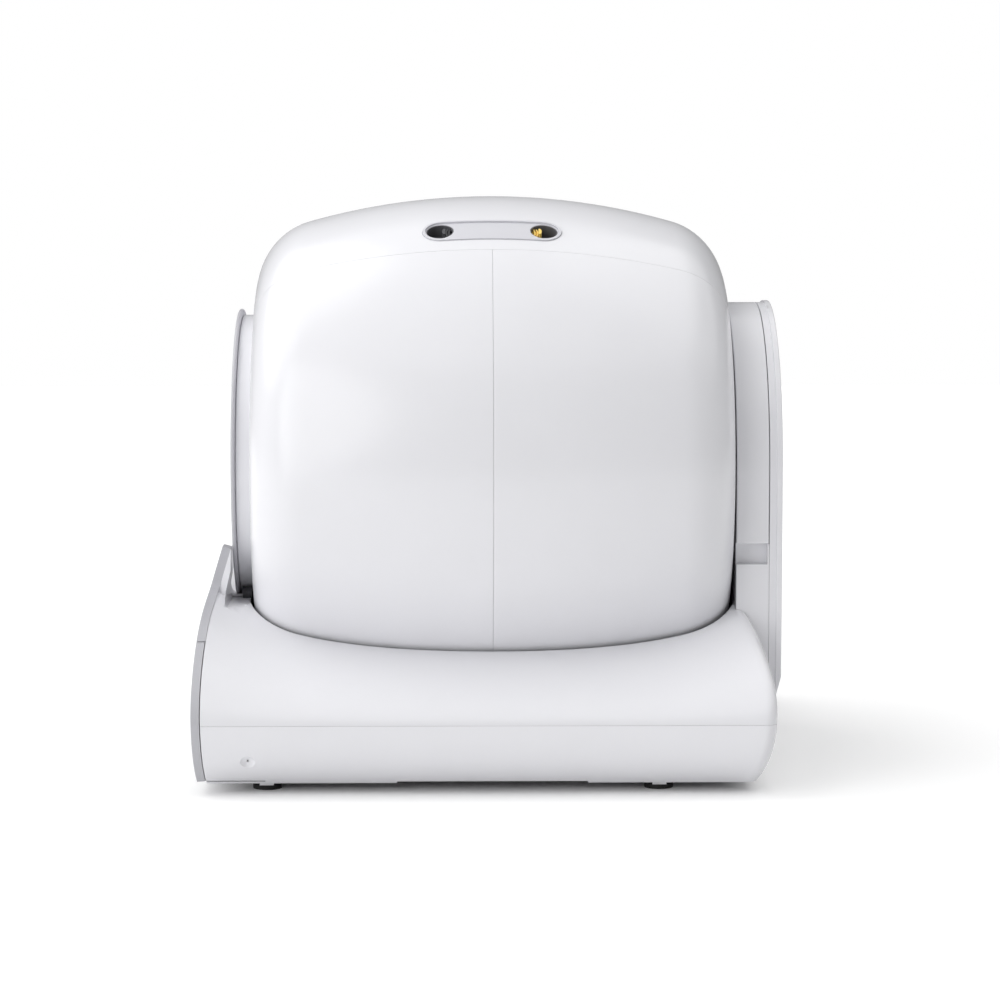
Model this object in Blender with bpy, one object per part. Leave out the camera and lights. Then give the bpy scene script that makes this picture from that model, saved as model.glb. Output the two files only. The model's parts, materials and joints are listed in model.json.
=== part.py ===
"""A self cleaning litter box: a drum with a round entrance turns on a low base, before a rear drive tower.

Axes: +X is the near side, -Y the front with the entrance, +Z up. Lengths are in metres, angles in degrees.
The origin is the middle of the footprint, on the floor. The drum turns about a line along Y above it.
"""

from math import asin, cos, degrees, pi, radians, sin, sqrt

import bmesh
import bpy

# Clearances
SEAT_GAP = 0.0003
SEAM_GAP = 0.0008
SLIDE_GAP = 0.0008
RUN_GAP = 0.0025
OVERRUN = 0.02

# Drum: a turned body with a slightly barrelled crown and rounded ends
DRUM_FLOOR_GAP = 0.024
DRUM_RADIUS = 0.264
CROWN_RADIUS = 0.666
CORNER_RADIUS = 0.0706
DRUM_HALF_LENGTH = 0.232
SHELL_WALL = 0.0025
BAND_WALL = 0.002
CRADLE_GAP = 0.004
TURN_STEP = 7.5

# Entrance: a white collar and a grey ring on the front end
ENTRANCE_SETBACK = 0.124
COLLAR_STEP = 0.0055
COLLAR_WALL = 0.0025
COLLAR_SPIGOT = 0.0095
RING_LIP = 0.006
RING_WALL = 0.003
RING_STAND = 0.0196
RING_FLANGE = 0.004
RING_SLEEVE = 0.034

# Rear end: a dish that holds the ring gear and the hub
DISH_SETBACK = 0.119
DISH_DEPTH = 0.0175
HUB_WALL = 0.0075
RING_GEAR_TEETH = 48
PINION_TEETH = 12
RING_GEAR_DEPTH = 0.0106
GEAR_WIDTH = 0.012
TIP_SHARE = 0.295
ROOT_SHARE = 0.508
TOOTH_HEIGHT_SHARES = (0.75, 0.95)
GEAR_FLOOR_GAP = 0.001
HUB_LENGTH = 0.0155
HUB_CLEARANCE = 0.0015
AXLE_RADIUS = 0.0100
AXLE_HEAD_LIP = 0.0035
AXLE_FLANGE_LIP = 0.016
AXLE_FLANGE = 0.0022
SCREW_HEAD_RADIUS = 0.0032
MAGNET_INSET = 0.0101
MAGNET_RADIUS = 0.005
MAGNET_THICKNESS = 0.003
MAGNET_ANGLE = 45

# Top cover: a sector of the drum that lifts off, with a two-finger grip in each shoulder
COVER_START = 54
COVER_END_GAP = 0.005
COVER_SEAT = 2.0
FRAME_WINDOW_INSET = 0.042
GRIP_TURN = 7.6
GRIP_LENGTH = 0.134
GRIP_WIDTH = 0.0365
GRIP_RISE = 0.0012
GRIP_BACK = 0.0180
WELL_END_RIM = 0.00375
WELL_SIDE_RIM = 0.005
WELL_DEPTH = 0.0150
LATCH_WIDTH = 0.015
LATCH_DEPTH = 0.011
LATCH_REACH = 0.0095
LATCH_LIP = 0.0032
LATCH_TRAVEL = 0.006

# Inside of the drum
LINER_START = 226
LINER_END = 314
LINER_THICKNESS = 0.003
LINER_INSET = 0.032
COMB_ANGLE = 207
COMB_THICKNESS = 0.003
COMB_REACH = 0.095
COMB_SPINE = 0.018
COMB_INSET = 0.052
COMB_BARS = 18
COMB_BAR_SHARE = 0.35
SEAM_BAND_WIDTH = 0.016
PORT_START = 140
PORT_END = 165
PORT_FRONT = 0.025
PORT_REAR = 0.125
PORT_RIM = 2.5
PORT_RIM_LENGTH = 0.0065

# Base: a shouldered boat under the drum, closed in front by a bowed panel
BASE_SIDE_REACH = 0.046
BASE_BOTTOM = 0.0095
BOTTOM_TUCK = 0.030
PARTING_HEIGHT = 0.068
SHOULDER_DROP = 0.136
SHOULDER_SWEEP = 0.017
SHOULDER_SWEEP_REACH = 0.210
SHOULDER_POWER = 1.7
BASE_WALL = 0.003
TRAY_FLOOR = 0.0025
NOSE_REACH = 0.0183
FRONT_BOW_HEIGHT = 0.100
FRONT_BOW_RADIUS = 1.0
HORN_DROP = 0.073
HORN_STAND = 0.0094
HORN_LEAN = 0.30
HORN_BEND = 0.004
HORN_FLARE = 0.25
HORN_FILLET = 0.010
HORN_LENGTH = 0.075
REAR_MARGIN = 0.030
REAR_BOW_SPARE = 0.071
REAR_BOW_RISE = 0.012
REAR_CORNER = 0.012
TRIM_THICKNESS = 0.0078
TRIM_GAP = 0.0008
BIB_SHOW = 0.0025
NOSE_DEPTH = 0.034
NOSE_WALL = 0.016
NOSE_ROOF = 0.032
NOSE_SIDE_MARGIN = 0.105
BIB_DROP = 0.073
BIB_GAP = 0.0012
LAND_DROP = 0.128
NOTCH_RISE = 0.032
NOTCH_DEPTH = 0.0045
NOTCH_CORNER = 0.006
SLOT_GAP = 0.003
GRIP_RECESS_FRONT = -0.090
GRIP_RECESS_REAR = 0.0875
GRIP_RECESS_RISE = 0.002
GRIP_RECESS_WIDTH = 0.040

# Waste drawer: a wide tray whose end walls dip under the drum
DRAWER_SIDE_REACH = 0.004
DRAWER_TOP_GAP = 0.00042444
DRAWER_WALL = 0.002
DRAWER_INSET = 0.042
DRAWER_GAP = 0.0005
DRAWER_ARCH_GAP = 0.0035
SPLIT_DROP = 0.023
TONGUE_DROP = 0.019
TONGUE_HALF_WIDTH = 0.080
TONGUE_SLOPE = 0.020
SPLIT_GAP = 0.0006
OPENING_CLEARANCE = 0.0008
CLIP_WIDTH = 0.010
CLIP_HEIGHT = 0.003
CLIP_LENGTH = 0.340
FINGER_SLOT_WIDTH = 0.120
FINGER_SLOT_HEIGHT = 0.014

# Control panel on the tongue of the front panel
DISPLAY_WIDTH = 0.070
DISPLAY_HEIGHT = 0.016
DISPLAY_THICKNESS = 0.0025
PANEL_DROP = 0.0025
BUTTON_OFFSET = 0.056
BUTTON_RADIUS = 0.006
BUTTON_TRAVEL = 0.0008
BUTTON_LENGTH = 0.0070

# Feet, weighing cells and the rollers under the collar
FOOT_SIDE_INSET = 0.030
FOOT_FRONT_INSET = 0.020
FOOT_REAR_INSET = 0.077
FOOT_RADIUS = 0.0135
FOOT_HEIGHT = 0.0042
CELL_LENGTH = 0.050
CELL_WIDTH = 0.013
ROLLER_RADIUS = 0.009
ROLLER_LENGTH = 0.009
ROLLER_ANGLE = 55
ROLLER_AXLE_RADIUS = 0.002
ROLLER_POCKET_GAP = 0.0015
MOULD_HOLE_RADIUS = 0.0055
MOULD_HOLE_DEPTH = 0.0015
FRONT_HOLE_INSET = 0.005
FRONT_HOLE_HEIGHT = 0.030

# Rear tower: an arch about the drum axis, a lift-off arch cover and a back plate
TOWER_RIM = 0.013
TOWER_GAP = 0.003
TOWER_DEPTH = 0.0315
TOWER_FOOT = 0.082
TOWER_WALL = 0.0025
COVER_WALL = 0.003
ARCH_COVER_DROP = 0.069
RECESS_HEIGHT = 0.020
RECESS_DEPTH = 0.0095
RECESS_WALL = 0.003
PLATE_LIP = 0.002
PLATE_SKIRT = 0.0068
PLATE_DEPTH = 0.0057
PLATE_FOOT = 0.070
PLATE_REAR_FOOT = 0.091
PLATE_EDGE = 0.0015
PLATE_WALL = 0.0035
PLATE_POCKET_FOOT = 0.097
PLATE_SCREW_HEAD = 0.0015
PLATE_SCREW_ANGLE = 50

# Drive and electrics inside the tower
GEARBOX_WIDTH = 0.070
GEARBOX_HEIGHT = 0.060
GEARBOX_DEPTH = 0.0255
MOTOR_RADIUS = 0.0125
MOTOR_LENGTH = 0.058
PINION_SHAFT_RADIUS = 0.005
BOARD_WIDTH = 0.110
BOARD_HEIGHT = 0.070
BOARD_THICKNESS = 0.0016
BOARD_RISE = 0.057
STANDOFF = 0.0040
CHIP_SHARES = ((-0.30, 0.22, 0.20, 0.24), (0.18, 0.20, 0.26, 0.30), (-0.10, -0.28, 0.34, 0.16))
CHIP_HEIGHT = 0.003
INLET_X = -0.060
INLET_RISE = 0.033
INLET_SIZE = 0.014
INLET_DEPTH = 0.007
INLET_BORE = 0.0035
INLET_PIN = 0.0012
SENSOR_SIZE = 0.010

# Fineness of round pieces
FINE_STEPS = 24
COARSE_STEPS = 12
CURVE_POINTS = 3

# Sizes worked out from the ones above
AXIS_HEIGHT = DRUM_RADIUS + DRUM_FLOOR_GAP
ENTRANCE_RADIUS = DRUM_RADIUS - ENTRANCE_SETBACK
DISH_RADIUS = DRUM_RADIUS - DISH_SETBACK
COLLAR_RADIUS = ENTRANCE_RADIUS + COLLAR_STEP
COLLAR_BORE = ENTRANCE_RADIUS - COLLAR_WALL
RING_RADIUS = COLLAR_RADIUS + RING_LIP
RING_BORE = COLLAR_BORE - RING_WALL
RING_FRONT = DRUM_HALF_LENGTH + RING_STAND
RING_BACK = RING_FRONT - RING_FLANGE
COVER_END = 180 - COVER_START
COVER_INNER_RADIUS = COLLAR_RADIUS + COVER_END_GAP
FRAME_WINDOW_HALF = DRUM_HALF_LENGTH - FRAME_WINDOW_INSET
FRAME_INSET = SHELL_WALL + SEAT_GAP
GRIP_ANGLE = COVER_START + GRIP_TURN
WELL_RADIUS = GRIP_WIDTH / 2 - WELL_SIDE_RIM
WELL_SPACING = GRIP_LENGTH - 2 * (WELL_RADIUS + WELL_END_RIM)
LINER_HALF_LENGTH = DRUM_HALF_LENGTH - LINER_INSET
COMB_HALF_LENGTH = DRUM_HALF_LENGTH - COMB_INSET
BUSH_BORE = AXLE_RADIUS + SEAT_GAP
AXLE_HEAD_RADIUS = AXLE_RADIUS + AXLE_HEAD_LIP
AXLE_FLANGE_RADIUS = AXLE_RADIUS + AXLE_FLANGE_LIP
HUB_BORE = AXLE_HEAD_RADIUS + HUB_CLEARANCE
HUB_HOLE_RADIUS = HUB_BORE + HUB_WALL
HUB_FLANGE_RADIUS = HUB_HOLE_RADIUS + 2 * SCREW_HEAD_RADIUS
MAGNET_ORBIT = HUB_FLANGE_RADIUS + MAGNET_RADIUS + MAGNET_INSET
GEAR_PITCH = DISH_RADIUS - RING_GEAR_DEPTH
GEAR_MODULE = 2 * GEAR_PITCH / RING_GEAR_TEETH
PINION_PITCH = GEAR_MODULE * PINION_TEETH / 2
PINION_HEIGHT = AXIS_HEIGHT - GEAR_PITCH + PINION_PITCH
GEAR_FRONT = DRUM_HALF_LENGTH - DISH_DEPTH + GEAR_FLOOR_GAP
CORNER_Y = DRUM_HALF_LENGTH - CORNER_RADIUS
CROWN_CENTRE = DRUM_RADIUS - CROWN_RADIUS
CORNER_R = CROWN_CENTRE + sqrt((CROWN_RADIUS - CORNER_RADIUS) ** 2 - CORNER_Y ** 2)
CROWN_HALF_ANGLE = asin(CORNER_Y / (CROWN_RADIUS - CORNER_RADIUS))
BASE_HALF_WIDTH = DRUM_RADIUS + BASE_SIDE_REACH
REAR_REACH = DRUM_HALF_LENGTH + REAR_MARGIN
HORN_REACH = RING_FRONT + HORN_STAND
FRONT_REACH = HORN_REACH + NOSE_REACH
SHOULDER_HEIGHT = AXIS_HEIGHT - SHOULDER_DROP - PARTING_HEIGHT
REAR_BOW_RADIUS = SHOULDER_HEIGHT + REAR_BOW_SPARE
REAR_BOW_HEIGHT = PARTING_HEIGHT + REAR_BOW_RISE
HORN_HEIGHT = AXIS_HEIGHT - HORN_DROP
HORN_FOOT = HORN_HEIGHT - HORN_LENGTH
BIB_RADIUS = RING_BORE + BIB_SHOW
BIB_TOP = AXIS_HEIGHT - BIB_DROP
LAND_HEIGHT = AXIS_HEIGHT - LAND_DROP
NOTCH_HEIGHT = LAND_HEIGHT + NOTCH_RISE
NOSE_TOP = LAND_HEIGHT - NOSE_ROOF
NOSE_HALF_WIDTH = BASE_HALF_WIDTH - NOSE_SIDE_MARGIN
SPLIT_HEIGHT = LAND_HEIGHT - SPLIT_DROP
PANEL_CENTRE = SPLIT_HEIGHT - PANEL_DROP
TRAY_TOP = BASE_BOTTOM + TRAY_FLOOR
DRAWER_HALF_WIDTH = BASE_HALF_WIDTH - BOTTOM_TUCK + DRAWER_SIDE_REACH
SIDE_SHARE = DRAWER_HALF_WIDTH / (BASE_HALF_WIDTH - BASE_WALL)
SIDE_ROOM = (SHOULDER_HEIGHT - BASE_WALL) * (1 - SIDE_SHARE ** SHOULDER_POWER) ** (1 / SHOULDER_POWER)
DRAWER_HEIGHT = PARTING_HEIGHT + SIDE_ROOM - CLIP_HEIGHT - SEAT_GAP - DRAWER_TOP_GAP
DRAWER_REAR = DRUM_HALF_LENGTH - DRAWER_INSET
DRAWER_BOTTOM = TRAY_TOP + DRAWER_GAP
OPENING_TOP = DRAWER_HEIGHT + CLIP_HEIGHT + SEAT_GAP + OPENING_CLEARANCE
ROLLER_ORBIT = COLLAR_RADIUS + SEAT_GAP + ROLLER_RADIUS
ROLLER_Y = -(DRUM_HALF_LENGTH + RING_BACK) / 2
ROLLER_X = ROLLER_ORBIT * cos(radians(ROLLER_ANGLE))
ROLLER_Z = AXIS_HEIGHT - ROLLER_ORBIT * sin(radians(ROLLER_ANGLE))
FOOT_X = BASE_HALF_WIDTH - BOTTOM_TUCK - FOOT_SIDE_INSET
FOOT_FRONT = -DRUM_HALF_LENGTH + FOOT_FRONT_INSET
FOOT_REAR = DRUM_HALF_LENGTH - FOOT_REAR_INSET
FRONT_HOLE_Y = -DRUM_HALF_LENGTH + FRONT_HOLE_INSET
TOWER_RADIUS = DISH_RADIUS + TOWER_RIM
TOWER_FRONT = DRUM_HALF_LENGTH + TOWER_GAP
TOWER_REAR = TOWER_FRONT + TOWER_DEPTH
ARCH_COVER_END = AXIS_HEIGHT - ARCH_COVER_DROP
RECESS_END = ARCH_COVER_END - RECESS_HEIGHT
PLATE_RADIUS = TOWER_RADIUS + PLATE_LIP
PLATE_STEP = TOWER_REAR + PLATE_SKIRT
PLATE_REAR = PLATE_STEP + PLATE_DEPTH
BOARD_Z = AXIS_HEIGHT + BOARD_RISE
INLET_Z = PLATE_POCKET_FOOT + INLET_RISE


# Materials
def material(name, colour, roughness, metallic=0.0):
    made = bpy.data.materials.new(name)
    made.use_nodes = True
    shader = made.node_tree.nodes["Principled BSDF"]
    shader.inputs["Base Color"].default_value = (*colour, 1.0)
    shader.inputs["Roughness"].default_value = roughness
    shader.inputs["Metallic"].default_value = metallic
    return made


def white_shell(name):
    return material(name, (0.86, 0.86, 0.89), 0.22)


def grey_trim(name):
    return material(name, (0.52, 0.52, 0.55), 0.35)


def light_grey(name):
    return material(name, (0.66, 0.66, 0.69), 0.40)


def dark_plastic(name):
    return material(name, (0.07, 0.07, 0.08), 0.45)


def yellow_plastic(name):
    return material(name, (0.92, 0.75, 0.18), 0.40)


def black_rubber(name):
    return material(name, (0.02, 0.02, 0.02), 0.80)


def grey_rubber(name):
    return material(name, (0.30, 0.30, 0.32), 0.75)


def dark_glass(name):
    return material(name, (0.01, 0.01, 0.012), 0.08)


def steel(name):
    return material(name, (0.60, 0.60, 0.62), 0.30, 1.0)


def bronze(name):
    return material(name, (0.55, 0.38, 0.18), 0.40, 1.0)


def board_green(name):
    return material(name, (0.03, 0.18, 0.08), 0.50)


# Shared modelling steps
def solid(name, points, faces, look, parent=None):
    """One closed mesh from points in world space, hung on an empty where it moves."""
    mesh = bpy.data.meshes.new(name)
    mesh.from_pydata(points, [], faces)
    shape = bmesh.new()
    shape.from_mesh(mesh)
    bmesh.ops.recalc_face_normals(shape, faces=shape.faces)
    if shape.calc_volume(signed=True) < 0:
        bmesh.ops.reverse_faces(shape, faces=shape.faces)
    shape.to_mesh(mesh)
    shape.free()
    mesh.shade_smooth()
    mesh.set_sharp_from_angle(angle=radians(30))
    made = bpy.data.objects.new(name, mesh)
    bpy.context.scene.collection.objects.link(made)
    if look:
        mesh.materials.append(look(name))
    else:
        made.hide_render = True
        made.display_type = "WIRE"
    hang(made, parent)
    return made


def hang(made, parent):
    if parent:
        made.parent = parent
        made.location = -parent.matrix_world.translation


def pivot(name, place, parent=None):
    """An empty on the axis or the line of a joint."""
    made = bpy.data.objects.new(name, None)
    bpy.context.scene.collection.objects.link(made)
    made.location = place
    if parent:
        made.parent = parent
        made.location = [a - b for a, b in zip(place, parent.matrix_world.translation)]
    bpy.context.view_layer.update()
    return made


def loft(name, rings, look, parent=None, closed_loop=False):
    """Skins rings that have the same number of points, and caps both ends or joins them."""
    size = len(rings[0])
    points = [point for ring in rings for point in ring]
    faces = []
    spans = len(rings) if closed_loop else len(rings) - 1
    for i in range(spans):
        here, there = i * size, (i + 1) % len(rings) * size
        for j in range(size):
            k = (j + 1) % size
            faces.append((here + j, here + k, there + k, there + j))
    if not closed_loop:
        faces.append(tuple(range(size)))
        faces.append(tuple(range(len(points) - 1, len(points) - size - 1, -1)))
    return solid(name, points, faces, look, parent)


def on_drum(y, radius, angle):
    turn = radians(angle)
    return (radius * cos(turn), y, AXIS_HEIGHT + radius * sin(turn))


def chord_share(angle):
    """How far out the facet between two steps lies at an angle, as a share of the radius at the steps."""
    middle = (angle // TURN_STEP + 0.5) * TURN_STEP
    return cos(radians(TURN_STEP / 2)) / cos(radians(angle - middle))


def turned(name, profile, look, parent=None, start=0, end=360):
    """Sweeps (y, radius) points about the drum axis, in facets that line up on every turned piece."""
    whole = end - start >= 360
    first, last = int(start // TURN_STEP) + 1, int(end // TURN_STEP) + 1
    angles = [start] + [k * TURN_STEP for k in range(first, last) if k * TURN_STEP < end]
    if not whole:
        angles.append(end)
    rings = [[on_drum(y, radius * chord_share(angle), angle) for y, radius in profile] for angle in angles]
    return loft(name, rings, look, parent, closed_loop=whole)


def along_y(name, outline, front, rear, look, parent=None):
    """A prism whose (x, z) outline runs from front to rear."""
    return loft(name, [[(x, y, z) for x, z in outline] for y in (front, rear)], look, parent)


def along_x(name, outline, far, near, look, parent=None):
    """A prism whose (y, z) outline runs from the far side to the near side."""
    return loft(name, [[(x, y, z) for y, z in outline] for x in (far, near)], look, parent)


def along_z(name, outline, bottom, top, look, parent=None):
    return loft(name, [[(x, y, z) for x, y in outline] for z in (bottom, top)], look, parent)


def rectangle(half_width, low, high):
    return [(-half_width, low), (half_width, low), (half_width, high), (-half_width, high)]


def block(name, low, high, look, parent=None):
    outline = [(low[0], low[2]), (high[0], low[2]), (high[0], high[2]), (low[0], high[2])]
    return along_y(name, outline, low[1], high[1], look, parent)


def circle(radius, steps, centre=(0, 0), start=0.0):
    turns = [start + 2 * pi * k / steps for k in range(steps)]
    return [(centre[0] + radius * cos(turn), centre[1] + radius * sin(turn)) for turn in turns]


def rod_y(name, centre, radius, front, rear, look, parent=None, steps=FINE_STEPS):
    return along_y(name, circle(radius, steps, centre), front, rear, look, parent)


def lathe_y(name, centre, profile, look, parent=None, steps=FINE_STEPS):
    """Turns (y, radius) points about a line along Y through an (x, z) centre."""
    rings = [
        [(centre[0] + r * cos(2 * pi * k / steps), y, centre[1] + r * sin(2 * pi * k / steps))
         for y, r in profile]
        for k in range(steps)
    ]
    return loft(name, rings, look, parent, closed_loop=True)


def tube_profile(front, rear, inner, outer):
    return [(front, outer), (rear, outer), (rear, inner), (front, inner)]


def combine(target, other, operation):
    cut = target.modifiers.new(other.name, "BOOLEAN")
    cut.operation = operation
    cut.object = other
    return target


def subtract(target, *cutters):
    for cutter in cutters:
        combine(target, cutter, "DIFFERENCE")
    return target


def unite(target, *others):
    for other in others:
        combine(target, other, "UNION")
    return target


# Outlines of the drum
def drum_side(inset, from_y, end_radius, direction=1):
    """Outer (y, radius) points from a plane near the middle, over the corner, to a radius on the end face."""
    crown, corner = CROWN_RADIUS - inset, CORNER_RADIUS - inset
    first = asin(from_y / crown)
    points = []
    for k in range(CURVE_POINTS + 1):
        turn = first + (CROWN_HALF_ANGLE - first) * k / CURVE_POINTS
        points.append((crown * sin(turn), CROWN_CENTRE + crown * cos(turn)))
    for k in range(1, CURVE_POINTS + 2):
        turn = CROWN_HALF_ANGLE + (pi / 2 - CROWN_HALF_ANGLE) * k / (CURVE_POINTS + 1)
        points.append((CORNER_Y + corner * sin(turn), CORNER_R + corner * cos(turn)))
    points.append((DRUM_HALF_LENGTH - inset, end_radius))
    return [(direction * y, radius) for y, radius in points]


def whole_side(inset, end_radius):
    """The outline from the front end face over the crown to the rear end face."""
    front = drum_side(inset, 0, end_radius, -1)[::-1]
    return front[:-1] + drum_side(inset, 0, end_radius)


def skin(inset, wall, end_radius):
    return whole_side(inset, end_radius) + whole_side(inset + wall, end_radius)[::-1]


def drum_radius_at(y, inset):
    """The radius on the straight facets of the outline."""
    points = whole_side(inset, 0)
    for (y0, r0), (y1, r1) in zip(points, points[1:]):
        if y0 <= y <= y1 and y0 < y1:
            return r0 + (r1 - r0) * (y - y0) / (y1 - y0)
    return 0.0


def strip(inset, wall, front, rear):
    """The outline of a curved strip that follows the drum between two planes."""
    sides = []
    for depth in (inset, inset + wall):
        inner = [point for point in whole_side(depth, 0) if front < point[0] < rear]
        ends = [(y, drum_radius_at(y, depth)) for y in (front, rear)]
        sides.append(ends[:1] + inner + ends[1:])
    return sides[0] + sides[1][::-1]


# Drum shells and what they carry
def drum_front_shell(drum, cover_cut):
    half_gap = SEAM_GAP / 2
    outer = drum_side(0, half_gap, ENTRANCE_RADIUS, -1)
    inner = drum_side(SHELL_WALL, half_gap, ENTRANCE_RADIUS, -1)
    shell = turned("drum_front_shell", outer + inner[::-1], white_shell, drum)
    subtract(shell, cover_cut)


def drum_rear_shell(drum, cover_cut):
    half_gap = SEAM_GAP / 2
    dish_floor = DRUM_HALF_LENGTH - DISH_DEPTH
    outer = drum_side(0, half_gap, DISH_RADIUS) + [(dish_floor, DISH_RADIUS), (dish_floor, HUB_HOLE_RADIUS)]
    back = dish_floor - SHELL_WALL
    inner = [(back, HUB_HOLE_RADIUS), (back, DISH_RADIUS + SHELL_WALL)]
    inner += drum_side(SHELL_WALL, half_gap, DISH_RADIUS + SHELL_WALL)[::-1]
    shell = turned("drum_rear_shell", outer + inner, white_shell, drum)
    port = strip(-OVERRUN, 2 * OVERRUN, PORT_FRONT, PORT_REAR)
    port_cut = turned("port_cut", port, None, drum, PORT_START, PORT_END)
    subtract(shell, cover_cut, port_cut)


def cover_cutter(drum):
    outline = [
        (-DRUM_HALF_LENGTH - OVERRUN, DRUM_RADIUS + OVERRUN),
        (DRUM_HALF_LENGTH + OVERRUN, DRUM_RADIUS + OVERRUN),
        (DRUM_HALF_LENGTH + OVERRUN, COVER_INNER_RADIUS - SEAM_GAP),
        (-DRUM_HALF_LENGTH - OVERRUN, COVER_INNER_RADIUS - SEAM_GAP),
    ]
    return turned("cover_cut", outline, None, drum, COVER_START, COVER_END)


def seam_band(drum):
    profile = strip(FRAME_INSET, BAND_WALL, -SEAM_BAND_WIDTH / 2, SEAM_BAND_WIDTH / 2)
    clear = COVER_SEAT + degrees(SEAM_GAP / DRUM_RADIUS)
    turned("seam_band", profile, white_shell, drum, COVER_END + clear, COVER_START + 360 - clear)


def cover_frame(drum):
    """The inner frame that carries the top cover along both straight seams and round both ends."""
    profile = skin(FRAME_INSET, BAND_WALL, COVER_INNER_RADIUS)
    start, end = COVER_START - COVER_SEAT, COVER_END + COVER_SEAT
    frame = turned("cover_frame", profile, white_shell, drum, start, end)
    window = strip(-OVERRUN, 3 * OVERRUN, -FRAME_WINDOW_HALF, FRAME_WINDOW_HALF)
    window_cut = turned("window_cut", window, None, drum, start + 2 * COVER_SEAT, end - 2 * COVER_SEAT)
    subtract(frame, window_cut)


def entrance(drum):
    front = -RING_BACK + SEAT_GAP
    end_face = -DRUM_HALF_LENGTH - SEAT_GAP
    spigot = ENTRANCE_RADIUS - SEAT_GAP
    spigot_end = end_face + COLLAR_SPIGOT
    collar = [(front, COLLAR_RADIUS), (end_face, COLLAR_RADIUS), (end_face, spigot)]
    collar += [(spigot_end, spigot), (spigot_end, COLLAR_BORE), (front, COLLAR_BORE)]
    turned("entrance_collar", collar, white_shell, drum)
    sleeve = COLLAR_BORE - SEAT_GAP
    ring = [(-RING_FRONT, RING_RADIUS), (-RING_BACK, RING_RADIUS), (-RING_BACK, sleeve)]
    sleeve_end = -RING_FRONT + RING_SLEEVE
    ring += [(sleeve_end, sleeve), (sleeve_end, RING_BORE), (-RING_FRONT, RING_BORE)]
    turned("entrance_ring", ring, grey_trim, drum)


def litter_liner(drum):
    inset = FRAME_INSET + BAND_WALL + SEAT_GAP
    profile = strip(inset, LINER_THICKNESS, -LINER_HALF_LENGTH, LINER_HALF_LENGTH)
    turned("litter_liner", profile, grey_rubber, drum, LINER_START, LINER_END)


def sifter_comb(drum):
    """A radial comb: the spine lies along the drum wall and the bars point inwards."""
    inset = FRAME_INSET + BAND_WALL + SEAT_GAP
    pitch = 2 * COMB_HALF_LENGTH / COMB_BARS
    outline = []
    for k in range(COMB_BARS + 1):
        y = -COMB_HALF_LENGTH + pitch * k
        outline.append((y, drum_radius_at(y, inset)))
    tip = DRUM_RADIUS - inset - COMB_REACH
    root = drum_radius_at(COMB_HALF_LENGTH, inset) - COMB_SPINE
    bar = pitch * COMB_BAR_SHARE
    for k in range(COMB_BARS):
        middle = COMB_HALF_LENGTH - pitch * (k + 0.5)
        outline += [(middle + bar / 2, root), (middle + bar / 2, tip)]
        outline += [(middle - bar / 2, tip), (middle - bar / 2, root)]
    half_turn = degrees(COMB_THICKNESS / DRUM_RADIUS) / 2
    faces = [COMB_ANGLE - half_turn, COMB_ANGLE + half_turn]
    rings = [[on_drum(y, radius * chord_share(angle), angle) for y, radius in outline] for angle in faces]
    loft("sifter_comb", rings, light_grey, drum)


def waste_port(drum, shutter):
    front, rear = PORT_FRONT - PORT_RIM_LENGTH, PORT_REAR + PORT_RIM_LENGTH
    rim = strip(FRAME_INSET, BAND_WALL, front, rear)
    frame = turned("port_frame", rim, dark_plastic, drum, PORT_START - PORT_RIM, PORT_END + PORT_RIM)
    window = strip(-OVERRUN, 2 * OVERRUN, PORT_FRONT, PORT_REAR)
    subtract(frame, turned("port_window_cut", window, None, drum, PORT_START, PORT_END))
    leaf = strip(FRAME_INSET + BAND_WALL + SLIDE_GAP, BAND_WALL, front, rear)
    turned("port_shutter", leaf, dark_plastic, shutter, PORT_START - PORT_RIM / 2, PORT_END + PORT_RIM / 2)


# Gears: straight-flanked teeth with play, in the rear dish
def gear_points(teeth, tip, root, phase):
    points = []
    for k in range(teeth):
        middle = 2 * pi * k / teeth + phase
        root_turn, tip_turn = (pi / teeth * share for share in (ROOT_SHARE, TIP_SHARE))
        points += [(root, middle - root_turn), (tip, middle - tip_turn)]
        points += [(tip, middle + tip_turn), (root, middle + root_turn)]
    return points


def gear(name, centre, points, bore, look, parent):
    """A toothed wheel whose plain side is a ring of as many points, so that the two bridge evenly."""
    toothed = [(centre[0] + r * cos(a), centre[1] + r * sin(a)) for r, a in points]
    plain = [(centre[0] + bore * cos(a), centre[1] + bore * sin(a)) for r, a in points]
    rear = GEAR_FRONT + GEAR_WIDTH
    rings = [
        [(x, y, z) for x, z in outline]
        for outline, y in ((toothed, GEAR_FRONT), (toothed, rear), (plain, rear), (plain, GEAR_FRONT))
    ]
    return loft(name, rings, look, parent, closed_loop=True)


def ring_gear(drum):
    height, depth = (GEAR_MODULE * share for share in TOOTH_HEIGHT_SHARES)
    half_pitch = pi / RING_GEAR_TEETH
    points = gear_points(RING_GEAR_TEETH, GEAR_PITCH - height, GEAR_PITCH + depth, half_pitch)
    gear("ring_gear", (0, AXIS_HEIGHT), points, DISH_RADIUS - SEAT_GAP, light_grey, drum)


def drive_pinion(pinion):
    """The pinion and its shaft, which runs through the tower wall into the gearbox."""
    height, depth = (GEAR_MODULE * share for share in TOOTH_HEIGHT_SHARES)
    points = gear_points(PINION_TEETH, PINION_PITCH + height, PINION_PITCH - depth, -pi / 2)
    outline = [(r * cos(a), PINION_HEIGHT + r * sin(a)) for r, a in points]
    wheel = along_y("drive_pinion", outline, GEAR_FRONT, GEAR_FRONT + GEAR_WIDTH, dark_plastic, pinion)
    rear = gearbox_front() + GEARBOX_DEPTH / 2 - SEAT_GAP
    front = GEAR_FRONT + GEAR_WIDTH / 2
    unite(wheel, rod_y("pinion_shaft", (0, PINION_HEIGHT), PINION_SHAFT_RADIUS, front, rear, None, pinion))


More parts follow.
